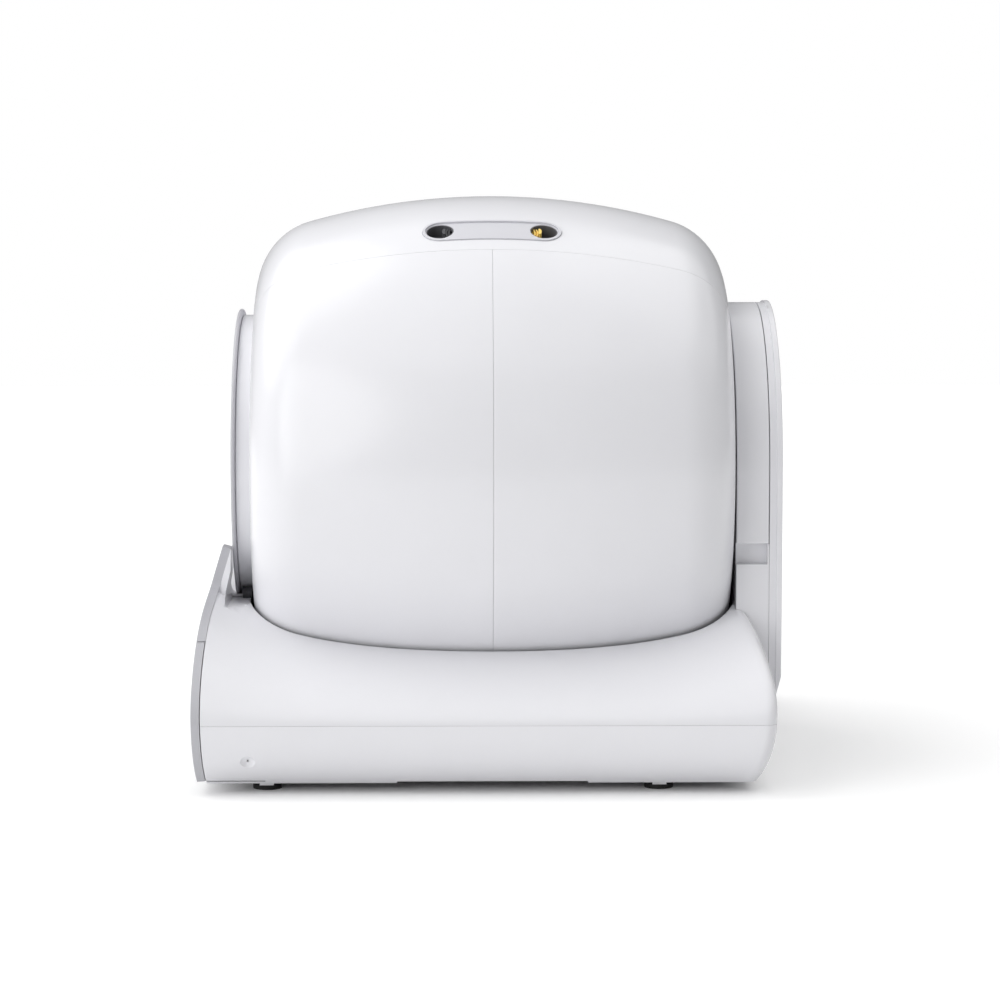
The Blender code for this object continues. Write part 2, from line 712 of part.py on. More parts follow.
# Top cover, its two grips and their latches
def on_grip(angle, y, across, radius):
    turn = radians(angle)
    return (radius * cos(turn) - across * sin(turn), y, AXIS_HEIGHT + radius * sin(turn) + across * cos(turn))


def radial_prism(name, angle, outline, low, high, look, parent):
    rings = [[on_grip(angle, y, across, radius) for y, across in outline] for radius in (low, high)]
    return loft(name, rings, look, parent)


def pill(length, width):
    """A rounded bar outline with half circles at its ends."""
    radius = width / 2
    steps = COARSE_STEPS // 2
    points = []
    for end in (1, -1):
        for k in range(steps + 1):
            turn = pi * k / steps - pi / 2
            points.append((end * (length / 2 - radius + radius * cos(turn)), end * radius * sin(turn)))
    return points


def top_cover(cover):
    profile = skin(0, SHELL_WALL, COVER_INNER_RADIUS)
    clear = degrees(SEAM_GAP / DRUM_RADIUS)
    shell = turned("top_cover", profile, white_shell, cover, COVER_START + clear, COVER_END - clear)
    for side, angle in grip_sides():
        outline = pill(GRIP_LENGTH + 2 * SEAT_GAP, GRIP_WIDTH + 2 * SEAT_GAP)
        hole = radial_prism(
            "grip_hole_" + side, angle, outline, DRUM_RADIUS - OVERRUN, DRUM_RADIUS + OVERRUN, None, cover
        )
        subtract(shell, hole)


def grip_sides():
    return (("near", GRIP_ANGLE), ("far", 180 - GRIP_ANGLE))


def grip_insert(cover, side, angle):
    """A bar that follows the crown, with two round finger wells and a slide way between them."""
    profile = strip(-GRIP_RISE, GRIP_RISE + GRIP_BACK, -GRIP_LENGTH, GRIP_LENGTH)
    spread = degrees(GRIP_WIDTH / DRUM_RADIUS)
    insert = turned("grip_insert_" + side, profile, light_grey, cover, angle - spread, angle + spread)
    bar = radial_prism(
        "grip_bar_" + side, angle, pill(GRIP_LENGTH, GRIP_WIDTH), DRUM_RADIUS - 2 * OVERRUN,
        DRUM_RADIUS + OVERRUN, None, cover,
    )
    combine(insert, bar, "INTERSECT")
    floor = DRUM_RADIUS - WELL_DEPTH
    for end in (-1, 1):
        well = radial_prism(
            "well_%s_%s" % (side, "front" if end < 0 else "rear"), angle,
            circle(WELL_RADIUS, FINE_STEPS, (end * WELL_SPACING / 2, 0)), floor, DRUM_RADIUS + OVERRUN, None,
            cover,
        )
        subtract(insert, well)
    reach = WELL_SPACING / 2
    slide = [(-reach, -LATCH_WIDTH / 2 - SEAT_GAP), (reach, -LATCH_WIDTH / 2 - SEAT_GAP)]
    slide += [(reach, LATCH_WIDTH / 2 + SEAT_GAP), (-reach, LATCH_WIDTH / 2 + SEAT_GAP)]
    subtract(
        insert,
        radial_prism(
            "slide_way_" + side, angle, slide, floor - SEAT_GAP, floor + LATCH_DEPTH + SEAT_GAP, None, cover
        ),
    )
    web_half = latch_inner_end() - LATCH_TRAVEL - SEAT_GAP
    web = [(-web_half, -LATCH_WIDTH), (web_half, -LATCH_WIDTH)]
    web += [(web_half, LATCH_WIDTH), (-web_half, LATCH_WIDTH)]
    web_top = floor + LATCH_DEPTH + BAND_WALL
    unite(insert, radial_prism("web_" + side, angle, web, floor - BAND_WALL, web_top, None, cover))


def latch_inner_end():
    return WELL_SPACING / 2 - LATCH_REACH - BAND_WALL


def latch_slider(latch, side, angle, end):
    """A finger tab: a block in the inner half of its well, with a hooked lip on the finger side."""
    name = "latch_%s_%s" % (side, "front" if end < 0 else "rear")
    floor = DRUM_RADIUS - WELL_DEPTH
    inner = latch_inner_end()
    outer = inner + LATCH_REACH
    half = LATCH_WIDTH / 2
    lip = LATCH_LIP
    corners = [(inner, -half), (outer - lip, -half), (outer, -half / 2)]
    corners += [(outer, half / 2), (outer - lip, half), (inner, half)]
    outline = [(end * y, across) for y, across in corners]
    look = yellow_plastic if end > 0 else dark_plastic
    radial_prism(name, angle, outline, floor, floor + LATCH_DEPTH, look, latch)


# Base body: sections across X swept from the front to the rear
def base_front(z):
    bow = (z - FRONT_BOW_HEIGHT) ** 2 / (2 * FRONT_BOW_RADIUS) - FRONT_REACH
    lean = -HORN_REACH - HORN_LEAN * (HORN_HEIGHT - z)
    return (bow + lean + sqrt((bow - lean) ** 2 + HORN_BEND ** 2)) / 2


def base_rear(z):
    return REAR_REACH - REAR_BOW_RADIUS + sqrt(REAR_BOW_RADIUS ** 2 - (z - REAR_BOW_HEIGHT) ** 2)


def shoulder(y):
    return SHOULDER_HEIGHT + SHOULDER_SWEEP * (abs(y) / SHOULDER_SWEEP_REACH) ** 4


def side_tuck(z):
    low = PARTING_HEIGHT - BASE_BOTTOM
    return BASE_HALF_WIDTH - BOTTOM_TUCK * (max(PARTING_HEIGHT - z, 0) / low) ** 3


def swept_body(name, section, front_offset, inset, look):
    """Skins sections (y, inset) -> (x, z) along Y. Each point ends on the bowed front and rear faces."""
    spans, corner_steps = 10, 3
    stations = [(k / spans, 0.0, 0.0) for k in range(spans)]
    for k in range(corner_steps + 1):
        turn = pi / 2 * k / corner_steps
        stations.append((1.0, REAR_CORNER * (1 - sin(turn)), REAR_CORNER * (1 - cos(turn))))
    rings = []
    for share, back, shrink in stations:
        ring = []
        count = len(section(0, inset))
        for j in range(count):
            y = 0.0
            for _ in range(4):
                x, z = section(y, inset + shrink)[j]
                front, rear = base_front(z) + front_offset, base_rear(z) - inset
                y = front + (rear - front) * share - back
            ring.append((x, y, z))
        rings.append(ring)
    size = len(rings[0])
    points = [point for ring in rings for point in ring]
    faces = []
    for i in range(len(rings) - 1):
        for j in range(size):
            k = (j + 1) % size
            faces.append((i * size + j, i * size + k, (i + 1) * size + k, (i + 1) * size + j))
    last = (len(rings) - 1) * size
    for base in (0, last):
        for j in range(size // 2 - 1):
            faces.append((base + j, base + j + 1, base + size - 2 - j, base + size - 1 - j))
    return solid(name, points, faces, look)


def shoulder_section(y, inset):
    """Right edge at the parting line, over the shoulders, to the left edge; an even count of points."""
    half = 13
    power = 2 / SHOULDER_POWER
    width, height = BASE_HALF_WIDTH - inset, shoulder(y) - inset
    right = []
    for k in range(half):
        turn = pi / 2 * k / (half - 0.5)
        right.append((width * cos(turn) ** power, PARTING_HEIGHT + height * sin(turn) ** power))
    return right + [(-x, z) for x, z in right[::-1]]


def shoulder_hollow_section(y, inset):
    points = shoulder_section(y, inset)
    low = PARTING_HEIGHT - OVERRUN
    return [(points[0][0], low)] + points + [(points[-1][0], low)]


def tray_side(inset, floor):
    steps = 4
    top = PARTING_HEIGHT - SEAM_GAP / 2
    heights = [top + (floor - top) * k / steps for k in range(steps + 1)]
    return [(side_tuck(z) - inset, z) for z in heights]


def tray_section(_, inset):
    right = tray_side(inset, BASE_BOTTOM)
    return right + [(-x, z) for x, z in right[::-1]]


def tray_hollow_section(_, inset):
    right = [(BASE_HALF_WIDTH - inset, PARTING_HEIGHT + OVERRUN)] + tray_side(inset, TRAY_TOP)
    return right + [(-x, z) for x, z in right[::-1]]


def front_edge(z):
    """Half width of the bowed front face at a height: the shoulder curve, run into the side of the horn."""
    if z <= PARTING_HEIGHT:
        return side_tuck(z)
    share = min((z - PARTING_HEIGHT) / shoulder(FRONT_REACH - body_front()), 1)
    curve = BASE_HALF_WIDTH * (1 - share ** SHOULDER_POWER) ** (1 / SHOULDER_POWER)
    horn = BIB_RADIUS + HORN_FLARE * (HORN_HEIGHT - z)
    return (curve + horn + sqrt((curve - horn) ** 2 + HORN_FILLET ** 2)) / 2


def front_outline(low, high):
    """The (x, z) outline of the front between two heights, before the arch under the entrance is cut."""
    steps = 16
    heights = [low + (high - low) * k / steps for k in range(steps + 1)]
    right = [(front_edge(z), z) for z in heights]
    return right + [(-x, z) for x, z in right[::-1]]


def slab_outline(offset, thickness, low, high):
    """The (y, z) outline of a slab that follows the bowed front."""
    steps = 14
    heights = [low + (high - low) * k / steps for k in range(steps + 1)]
    front = [(base_front(z) + offset, z) for z in heights]
    return front + [(base_front(z) + offset + thickness, z) for z in heights[::-1]]


def body_front():
    return TRIM_THICKNESS + TRIM_GAP


def horns():
    """The two white cheeks that stand beside the entrance, bowed in front like the panel they back."""
    steps = 8
    heights = [HORN_FOOT + (BIB_TOP - HORN_FOOT) * k / steps for k in range(steps + 1)]
    outline = [(base_front(z) + body_front(), z) for z in heights]
    rear = -DRUM_HALF_LENGTH - CRADLE_GAP
    outline += [(rear, BIB_TOP), (rear, HORN_FOOT)]
    block_of = along_x("horns", outline, -BASE_HALF_WIDTH, BASE_HALF_WIDTH, None)
    top, foot = HORN_HEIGHT + OVERRUN, HORN_FOOT - OVERRUN
    sides = [(BIB_RADIUS + HORN_FLARE * (HORN_HEIGHT - z), z) for z in (foot, top)]
    face = sides + [(-x, z) for x, z in sides[::-1]]
    plan = along_y("horn_face", face, -FRONT_REACH - OVERRUN, 0, None)
    return combine(block_of, plan, "INTERSECT")


def notch():
    """Cuts the room behind the horns: a slanted face, a rounded corner and a flat land for the ring."""
    rear = -RING_FRONT - BIB_GAP
    corner = LAND_HEIGHT + NOTCH_CORNER
    outline = [
        (rear, BIB_TOP + OVERRUN),
        (rear, NOTCH_HEIGHT),
        (rear - NOTCH_DEPTH, corner + NOTCH_CORNER),
        (rear - NOTCH_DEPTH, corner),
        (rear - NOTCH_DEPTH + NOTCH_CORNER / 2, LAND_HEIGHT),
        (-CORNER_Y, LAND_HEIGHT),
        (-CORNER_Y, BIB_TOP + OVERRUN),
    ]
    return along_x("notch", outline, -BASE_HALF_WIDTH - OVERRUN, BASE_HALF_WIDTH + OVERRUN, None)


def drum_clearance():
    outline = whole_side(-CRADLE_GAP, OVERRUN)
    return turned("drum_clearance", outline, None)


def ring_clearance():
    flange, collar = RING_RADIUS + SLOT_GAP, COLLAR_RADIUS + SLOT_GAP
    front, middle = -RING_FRONT - SLOT_GAP, -RING_BACK + SLOT_GAP
    outline = [(front, flange), (middle, flange), (middle, collar), (-CORNER_Y, collar)]
    outline += [(-CORNER_Y, OVERRUN), (front, OVERRUN)]
    return turned("ring_clearance", outline, None)


def entrance_arch(name):
    front = -FRONT_REACH - OVERRUN
    return rod_y(name, (0, AXIS_HEIGHT), BIB_RADIUS, front, -RING_FRONT, None, steps=int(360 / TURN_STEP))


def drawer_opening(name, top):
    half = DRAWER_HALF_WIDTH + OPENING_CLEARANCE
    low = (-half, -FRONT_REACH - OVERRUN, BASE_BOTTOM + TRAY_FLOOR)
    return block(name, low, (half, -DRUM_HALF_LENGTH + OVERRUN, top), None)


def tower_socket():
    half = TOWER_RADIUS + SEAT_GAP
    outline = rectangle(half, TOWER_FOOT - SEAT_GAP, AXIS_HEIGHT)
    return along_y("tower_socket", outline, TOWER_FRONT - SEAT_GAP, PLATE_REAR, None)


def base_shell():
    shell = swept_body("base_shell", shoulder_section, body_front(), 0, white_shell)
    hollow = swept_body("base_hollow", shoulder_hollow_section, body_front() + NOSE_DEPTH, BASE_WALL, None)
    nose_front = base_front(NOSE_TOP) + body_front() + NOSE_WALL
    nose = block(
        "nose_hollow", (-NOSE_HALF_WIDTH, nose_front, PARTING_HEIGHT),
        (NOSE_HALF_WIDTH, -DRUM_HALF_LENGTH + OVERRUN, NOSE_TOP), None,
    )
    unite(shell, horns())
    subtract(shell, notch(), hollow, nose, drum_clearance(), ring_clearance(), entrance_arch("bib_arch"))
    subtract(shell, drawer_opening("shell_opening", OPENING_TOP), tower_socket())
    for side in (-1, 1):
        where = "near" if side > 0 else "far"
        centre = (side * ROLLER_X, ROLLER_Z)
        half = ROLLER_LENGTH / 2 + ROLLER_POCKET_GAP
        pocket_radius = ROLLER_RADIUS + ROLLER_POCKET_GAP
        pocket = rod_y("roller_pocket_" + where, centre, pocket_radius, ROLLER_Y - half, -CORNER_Y, None)
        hole_front = axle_front() - SEAT_GAP
        hole = rod_y("axle_hole_" + where, centre, ROLLER_AXLE_RADIUS + SEAT_GAP, hole_front, ROLLER_Y, None)
        subtract(shell, pocket, hole)
        base_button = rod_y(
            "button_pocket_" + where, (side * BUTTON_OFFSET, PANEL_CENTRE), BUTTON_RADIUS + SEAT_GAP,
            -FRONT_REACH, panel_face() + BUTTON_LENGTH + 2 * BUTTON_TRAVEL, None,
        )
        subtract(shell, base_button)


def axle_front():
    return -RING_FRONT - BIB_GAP - NOTCH_DEPTH - BASE_WALL


def panel_face():
    return base_front(PANEL_CENTRE)


def base_tray():
    tray = swept_body("base_tray", tray_section, body_front(), 0, white_shell)
    pocket = swept_body("tray_pocket", tray_hollow_section, body_front() - OVERRUN, BASE_WALL, None)
    subtract(tray, pocket, drawer_opening("tray_opening", PARTING_HEIGHT + OVERRUN))
    for side in (-1, 1):
        where = "near" if side > 0 else "far"
        outer = side * (BASE_HALF_WIDTH + OVERRUN)
        inner = side * (BASE_HALF_WIDTH - BOTTOM_TUCK - GRIP_RECESS_WIDTH)
        low = (min(inner, outer), GRIP_RECESS_FRONT, 0)
        high = (max(inner, outer), GRIP_RECESS_REAR, BASE_BOTTOM + GRIP_RECESS_RISE)
        skin_x = side * (side_tuck(FRONT_HOLE_HEIGHT) - MOULD_HOLE_DEPTH)
        ends = sorted((skin_x, outer))
        dimple = circle(MOULD_HOLE_RADIUS, COARSE_STEPS, (FRONT_HOLE_Y, FRONT_HOLE_HEIGHT))
        subtract(
            tray,
            block("hand_recess_" + where, low, high, None),
            along_x("mould_dimple_" + where, dimple, *ends, None),
        )


# Front panel: the upper part is fixed and the lower part is the drawer front
def split_line(gap):
    """The (x, z) points of the line between the two, which dips to leave a tongue for the display."""
    outer, inner = TONGUE_HALF_WIDTH + TONGUE_SLOPE, TONGUE_HALF_WIDTH
    low = SPLIT_HEIGHT - TONGUE_DROP
    far = BASE_HALF_WIDTH + OVERRUN
    points = [(far, SPLIT_HEIGHT), (outer, SPLIT_HEIGHT), (inner, low)]
    points += [(-inner, low), (-outer, SPLIT_HEIGHT), (-far, SPLIT_HEIGHT)]
    return [(x, z + gap) for x, z in points]


def trim_slab(name, thickness, low, high, look, parent=None):
    outline = slab_outline(0, thickness, low, high)
    slab = along_x(name, outline, -BASE_HALF_WIDTH - OVERRUN, BASE_HALF_WIDTH + OVERRUN, look, parent)
    face = front_outline(low - SEAT_GAP, high + SEAT_GAP)
    plan = along_y(name + "_face", face, -FRONT_REACH - OVERRUN, 0, None, parent)
    return combine(slab, plan, "INTERSECT")


def front_panel():
    thickness = TRIM_THICKNESS + TRIM_GAP - SEAT_GAP
    panel = trim_slab("front_panel", thickness, SPLIT_HEIGHT - TONGUE_DROP, HORN_HEIGHT, grey_trim)
    far = BASE_HALF_WIDTH + OVERRUN
    below = split_line(SPLIT_GAP / 2) + [(-far, 0), (far, 0)]
    front, rear = -FRONT_REACH - OVERRUN, 0
    subtract(panel, along_y("panel_split", below, front, rear, None), entrance_arch("panel_arch"))
    ring = lathe_y(
        "panel_ring_clearance", (0, AXIS_HEIGHT),
        tube_profile(-RING_FRONT - BIB_GAP, 0, OVERRUN, DRUM_RADIUS), None,
    )
    window = rectangle(DISPLAY_WIDTH / 2 + SEAT_GAP, 0, DISPLAY_HEIGHT + 2 * SEAT_GAP)
    base = PANEL_CENTRE - DISPLAY_HEIGHT / 2 - SEAT_GAP
    recess = [(x, z + base) for x, z in window]
    floor = panel_face() + DISPLAY_THICKNESS + 2 * SEAT_GAP
    subtract(panel, ring, along_y("display_recess", recess, front, floor, None))
    for side in (-1, 1):
        hole = rod_y(
            "button_hole_" + ("near" if side > 0 else "far"), (side * BUTTON_OFFSET, PANEL_CENTRE),
            BUTTON_RADIUS + SEAT_GAP, front, rear, None,
        )
        subtract(panel, hole)


def display_window():
    face = panel_face() + SEAT_GAP
    half_height = DISPLAY_HEIGHT / 2
    outline = rectangle(DISPLAY_WIDTH / 2, PANEL_CENTRE - half_height, PANEL_CENTRE + half_height)
    along_y("display_window", outline, face, face + DISPLAY_THICKNESS, dark_glass)


def panel_button(name, side, button):
    face = panel_face()
    place = (side * BUTTON_OFFSET, PANEL_CENTRE)
    rod_y(name, place, BUTTON_RADIUS, face, face + BUTTON_LENGTH, light_grey, button)


# Waste drawer
def drawer_front(drawer):
    low = BASE_BOTTOM + GRIP_RECESS_RISE
    front = trim_slab("drawer_front", TRIM_THICKNESS, low, SPLIT_HEIGHT, grey_trim, drawer)
    far, top = BASE_HALF_WIDTH + OVERRUN, HORN_HEIGHT + OVERRUN
    above = split_line(-SPLIT_GAP / 2) + [(-far, top), (far, top)]
    cut = along_y("drawer_split", above, -FRONT_REACH - OVERRUN, 0, None, drawer)
    slot = block(
        "finger_slot", (-FINGER_SLOT_WIDTH / 2, -FRONT_REACH - OVERRUN, 0),
        (FINGER_SLOT_WIDTH / 2, 0, low + FINGER_SLOT_HEIGHT), None, drawer,
    )
    subtract(front, cut, slot)


def drawer_tray(drawer):
    """A wide tray. Its end walls dip in an arc, so that it slides out under the drum."""
    offset = TRIM_THICKNESS + SEAT_GAP
    steps = 8
    heights = [DRAWER_BOTTOM + (DRAWER_HEIGHT - DRAWER_BOTTOM) * k / steps for k in range(steps + 1)]
    side = [(base_front(z) + offset, z) for z in heights]
    side += [(DRAWER_REAR, DRAWER_HEIGHT), (DRAWER_REAR, DRAWER_BOTTOM)]
    reach = DRAWER_HALF_WIDTH + OVERRUN
    tray = along_x("drawer_tray", side, -reach, reach, light_grey, drawer)
    face = drawer_section(0, DRAWER_BOTTOM - OVERRUN, DRAWER_HEIGHT + OVERRUN)
    plan = along_y("drawer_face", face, -FRONT_REACH, DRAWER_REAR + OVERRUN, None, drawer)
    combine(tray, plan, "INTERSECT")
    inside = drawer_section(DRAWER_WALL, DRAWER_BOTTOM + DRAWER_WALL, DRAWER_HEIGHT + OVERRUN)
    front = -FRONT_REACH + 2 * TRIM_THICKNESS
    pocket = along_y("drawer_pocket", inside, front, DRAWER_REAR - DRAWER_WALL, None, drawer)
    arch = rod_y(
        "drawer_arch", (0, AXIS_HEIGHT), DRUM_RADIUS + DRAWER_ARCH_GAP, -FRONT_REACH - OVERRUN,
        DRAWER_REAR + OVERRUN, None, drawer, int(360 / TURN_STEP),
    )
    subtract(tray, pocket, arch)


def drawer_section(inset, floor, top):
    """Half of the section is upright, and its lower corner is cut to clear the tuck of the base."""
    wide = DRAWER_HALF_WIDTH - inset
    narrow = wide - BOTTOM_TUCK / 2
    bend = DRAWER_BOTTOM + BOTTOM_TUCK / 2 + inset
    lower = narrow - (wide - narrow) * (DRAWER_BOTTOM + inset - floor) / (BOTTOM_TUCK / 2)
    return [(-lower, floor), (lower, floor), (wide, bend), (wide, top), (-wide, top), (-wide, bend)]


def bag_clips(drawer):
    for side, where in ((-1, "far"), (1, "near")):
        low = (side * DRAWER_HALF_WIDTH, DRAWER_REAR - CLIP_LENGTH, DRAWER_HEIGHT + SEAT_GAP)
        high = (side * (DRAWER_HALF_WIDTH - CLIP_WIDTH), DRAWER_REAR, DRAWER_HEIGHT + SEAT_GAP + CLIP_HEIGHT)
        start = (min(low[0], high[0]), low[1], low[2])
        end = (max(low[0], high[0]), high[1], high[2])
        block("bag_clip_" + where, start, end, dark_plastic, drawer)


# Feet, weighing cells and rollers
def foot_places():
    return [
        ("front_near", FOOT_X, FOOT_FRONT), ("front_far", -FOOT_X, FOOT_FRONT),
        ("rear_near", FOOT_X, FOOT_REAR), ("rear_far", -FOOT_X, FOOT_REAR),
    ]


def feet():
    for where, x, y in foot_places():
        along_z("foot_" + where, circle(FOOT_RADIUS, FINE_STEPS, (x, y)), 0, FOOT_HEIGHT, black_rubber)


def weighing_cells():
    low, high = FOOT_HEIGHT + SEAT_GAP, BASE_BOTTOM - SEAT_GAP
    for where, x, y in foot_places():
        inward = -CELL_LENGTH if x > 0 else CELL_LENGTH
        ends = sorted((x + FOOT_RADIUS * (1 if x > 0 else -1), x + inward))
        start = (ends[0], y - CELL_WIDTH / 2, low)
        block("load_cell_" + where, start, (ends[1], y + CELL_WIDTH / 2, high), steel)


def rollers(pivots):
    for side, where in ((1, "near"), (-1, "far")):
        centre = (side * ROLLER_X, ROLLER_Z)
        half = ROLLER_LENGTH / 2
        bore = ROLLER_AXLE_RADIUS + SEAT_GAP
        profile = tube_profile(ROLLER_Y - half, ROLLER_Y + half, bore, ROLLER_RADIUS)
        lathe_y("roller_" + where, centre, profile, dark_plastic, pivots[where])
        name, ends = "roller_axle_" + where, (axle_front(), ROLLER_Y + half)
        rod_y(name, centre, ROLLER_AXLE_RADIUS, *ends, steel, steps=COARSE_STEPS)


# Rear tower
def arch(radius, foot):
    """An upright outline with a round top about the drum axis."""
    points = [(radius, foot)]
    steps = int(180 / TURN_STEP)
    for k in range(steps + 1):
        turn = pi * k / steps
        points.append((radius * cos(turn), AXIS_HEIGHT + radius * sin(turn)))
    return points + [(-radius, foot)]


def stepped_arch(radius, foot, step_radius, step_low, step_high):
    """An arch that is narrower or wider between two heights, on both sides."""
    plain = arch(radius, foot)
    right = [plain[0], (radius, step_low), (step_radius, step_low)]
    right += [(step_radius, step_high), (radius, step_high)]
    left = [(-x, z) for x, z in right[::-1]]
    return right + plain[1:-1] + left


def tower_shell():
    under_cover = TOWER_RADIUS - COVER_WALL - SEAT_GAP
    top = ARCH_COVER_END - SEAT_GAP
    outline = [(TOWER_RADIUS, TOWER_FOOT), (TOWER_RADIUS, top), (under_cover, top)]
    upper = arch(under_cover, top)[1:-1]
    outline = outline + upper + [(-x, z) for x, z in outline[::-1]]
    shell = along_y("tower_shell", outline, TOWER_FRONT, TOWER_REAR, white_shell)
    inner = under_cover - TOWER_WALL
    narrow = TOWER_RADIUS - RECESS_DEPTH - RECESS_WALL
    margin = RECESS_WALL
    pocket = stepped_arch(inner, TOWER_FOOT - OVERRUN, narrow, RECESS_END - margin, ARCH_COVER_END + margin)
    front = TOWER_FRONT + TOWER_WALL
    subtract(shell, along_y("tower_pocket", pocket, front, TOWER_REAR + OVERRUN, None))
    for side in (-1, 1):
        inner_x, outer_x = TOWER_RADIUS - RECESS_DEPTH, TOWER_RADIUS + OVERRUN
        ends = sorted((side * inner_x, side * outer_x))
        recess = block(
            "finger_recess_" + ("near" if side > 0 else "far"),
            (ends[0], TOWER_FRONT + RECESS_WALL, RECESS_END),
            (ends[1], TOWER_REAR - RECESS_WALL, ARCH_COVER_END), None,
        )
        subtract(shell, recess)
    axle_hole = rod_y("axle_passage", (0, AXIS_HEIGHT), AXLE_RADIUS + SEAT_GAP, 0, TOWER_REAR, None)
    passage = PINION_SHAFT_RADIUS + SLIDE_GAP
    shaft_hole = rod_y("shaft_passage", (0, PINION_HEIGHT), passage, 0, TOWER_REAR, None)
    subtract(shell, axle_hole, shaft_hole)


def arch_cover(lift):
    outer = arch(TOWER_RADIUS, ARCH_COVER_END)
    inner = arch(TOWER_RADIUS - COVER_WALL, ARCH_COVER_END)[::-1]
    along_y("arch_cover", outer + inner, TOWER_FRONT, TOWER_REAR - SEAT_GAP, white_shell, lift)


def back_plate():
    front = TOWER_REAR + SEAT_GAP
    edge = PLATE_STEP + SEAT_GAP
    slope = (PLATE_REAR_FOOT - PLATE_FOOT) / (PLATE_REAR - PLATE_STEP)
    chamfer = PLATE_REAR - PLATE_EDGE
    sections = [
        (front, TOWER_RADIUS, PLATE_FOOT),
        (PLATE_STEP, TOWER_RADIUS, PLATE_FOOT),
        (edge, PLATE_RADIUS, PLATE_FOOT + slope * SEAT_GAP),
        (chamfer, PLATE_RADIUS, PLATE_FOOT + slope * (chamfer - PLATE_STEP)),
        (PLATE_REAR, PLATE_RADIUS - PLATE_EDGE, PLATE_REAR_FOOT),
    ]
    rings = [[(x, y, z) for x, z in arch(radius, foot)] for y, radius, foot in sections]
    plate = loft("back_plate", rings, white_shell)
    inner = arch(TOWER_RADIUS - PLATE_WALL, PLATE_POCKET_FOOT)
    subtract(plate, along_y("plate_pocket", inner, 0, PLATE_REAR - PLATE_WALL, None))
    half = INLET_SIZE / 2 + SEAT_GAP
    low, high = (INLET_X - half, 0, INLET_Z - half), (INLET_X + half, PLATE_REAR + OVERRUN, INLET_Z + half)
    subtract(plate, block("inlet_hole", low, high, None))
    for where, place in screw_places().items():
        well = rod_y(
            "screw_well_" + where, place, SCREW_HEAD_RADIUS + SEAT_GAP, screw_seat(), PLATE_REAR + OVERRUN,
            None,
        )
        subtract(plate, well)


def screw_places():
    """Four places near the rim of the back plate."""
    orbit = TOWER_RADIUS - PLATE_WALL / 2 - 2 * SCREW_HEAD_RADIUS
    turn = radians(PLATE_SCREW_ANGLE)
    high = AXIS_HEIGHT + orbit * sin(turn)
    low = (PLATE_POCKET_FOOT + AXIS_HEIGHT) / 2
    across = orbit * cos(turn)
    places = {"top_near": (across, high), "top_far": (-across, high)}
    return places | {"low_near": (orbit, low), "low_far": (-orbit, low)}


def screw_seat():
    return PLATE_REAR - PLATE_SCREW_HEAD - SEAT_GAP


def back_plate_screws():
    front = screw_seat() + SEAT_GAP
    for where, place in screw_places().items():
        name = "plate_screw_" + where
        rod_y(name, place, SCREW_HEAD_RADIUS, front, front + PLATE_SCREW_HEAD, steel, steps=COARSE_STEPS)


# Drive and electrics
def stub_axle():
    """A headed axle with a flange in front of the tower wall. The hub of the drum turns on it."""
    flange = TOWER_FRONT - SEAT_GAP - AXLE_FLANGE
    dish_back = DRUM_HALF_LENGTH - DISH_DEPTH - SHELL_WALL
    profile = [(dish_back - AXLE_FLANGE, AXLE_HEAD_RADIUS), (dish_back, AXLE_HEAD_RADIUS)]
    profile += [(dish_back, AXLE_RADIUS), (flange, AXLE_RADIUS), (flange, AXLE_FLANGE_RADIUS)]
    profile += [(flange + AXLE_FLANGE, AXLE_FLANGE_RADIUS), (flange + AXLE_FLANGE, AXLE_RADIUS)]
    profile.append((TOWER_FRONT + TOWER_WALL + AXLE_RADIUS, AXLE_RADIUS))
    rings = [[(x, y, z) for x, z in circle(r, FINE_STEPS, (0, AXIS_HEIGHT))] for y, r in profile]
    loft("stub_axle", rings, steel)


def hub_and_bush(drum):
    floor = DRUM_HALF_LENGTH - DISH_DEPTH
    front, rear = floor - SHELL_WALL + SEAT_GAP, floor - SHELL_WALL + HUB_LENGTH
    outer, flange = HUB_HOLE_RADIUS - SEAT_GAP, HUB_FLANGE_RADIUS
    seat = floor + SEAT_GAP
    profile = [(front, outer), (seat, outer), (seat, flange), (seat + SHELL_WALL, flange)]
    profile += [(seat + SHELL_WALL, outer), (rear, outer), (rear, HUB_BORE), (front, HUB_BORE)]
    lathe_y("rear_hub", (0, AXIS_HEIGHT), profile, dark_plastic, drum)
    bush = tube_profile(front + SEAT_GAP, rear - SEAT_GAP, BUSH_BORE, HUB_BORE - SEAT_GAP)
    lathe_y("hub_bush", (0, AXIS_HEIGHT), bush, bronze)


def home_sensing(drum):
    turn = radians(MAGNET_ANGLE)
    x, z = MAGNET_ORBIT * cos(turn), AXIS_HEIGHT + MAGNET_ORBIT * sin(turn)
    front = DRUM_HALF_LENGTH - DISH_DEPTH + SEAT_GAP
    rod_y("home_magnet", (x, z), MAGNET_RADIUS, front, front + MAGNET_THICKNESS, steel, drum, COARSE_STEPS)
    half, face = SENSOR_SIZE / 2, front + MAGNET_THICKNESS + RUN_GAP
    low, high = (x - half, face, z - half), (x + half, TOWER_FRONT - SEAT_GAP, z + half)
    block("home_sensor", low, high, dark_plastic)


def gearbox_front():
    return TOWER_FRONT + TOWER_WALL + SEAT_GAP


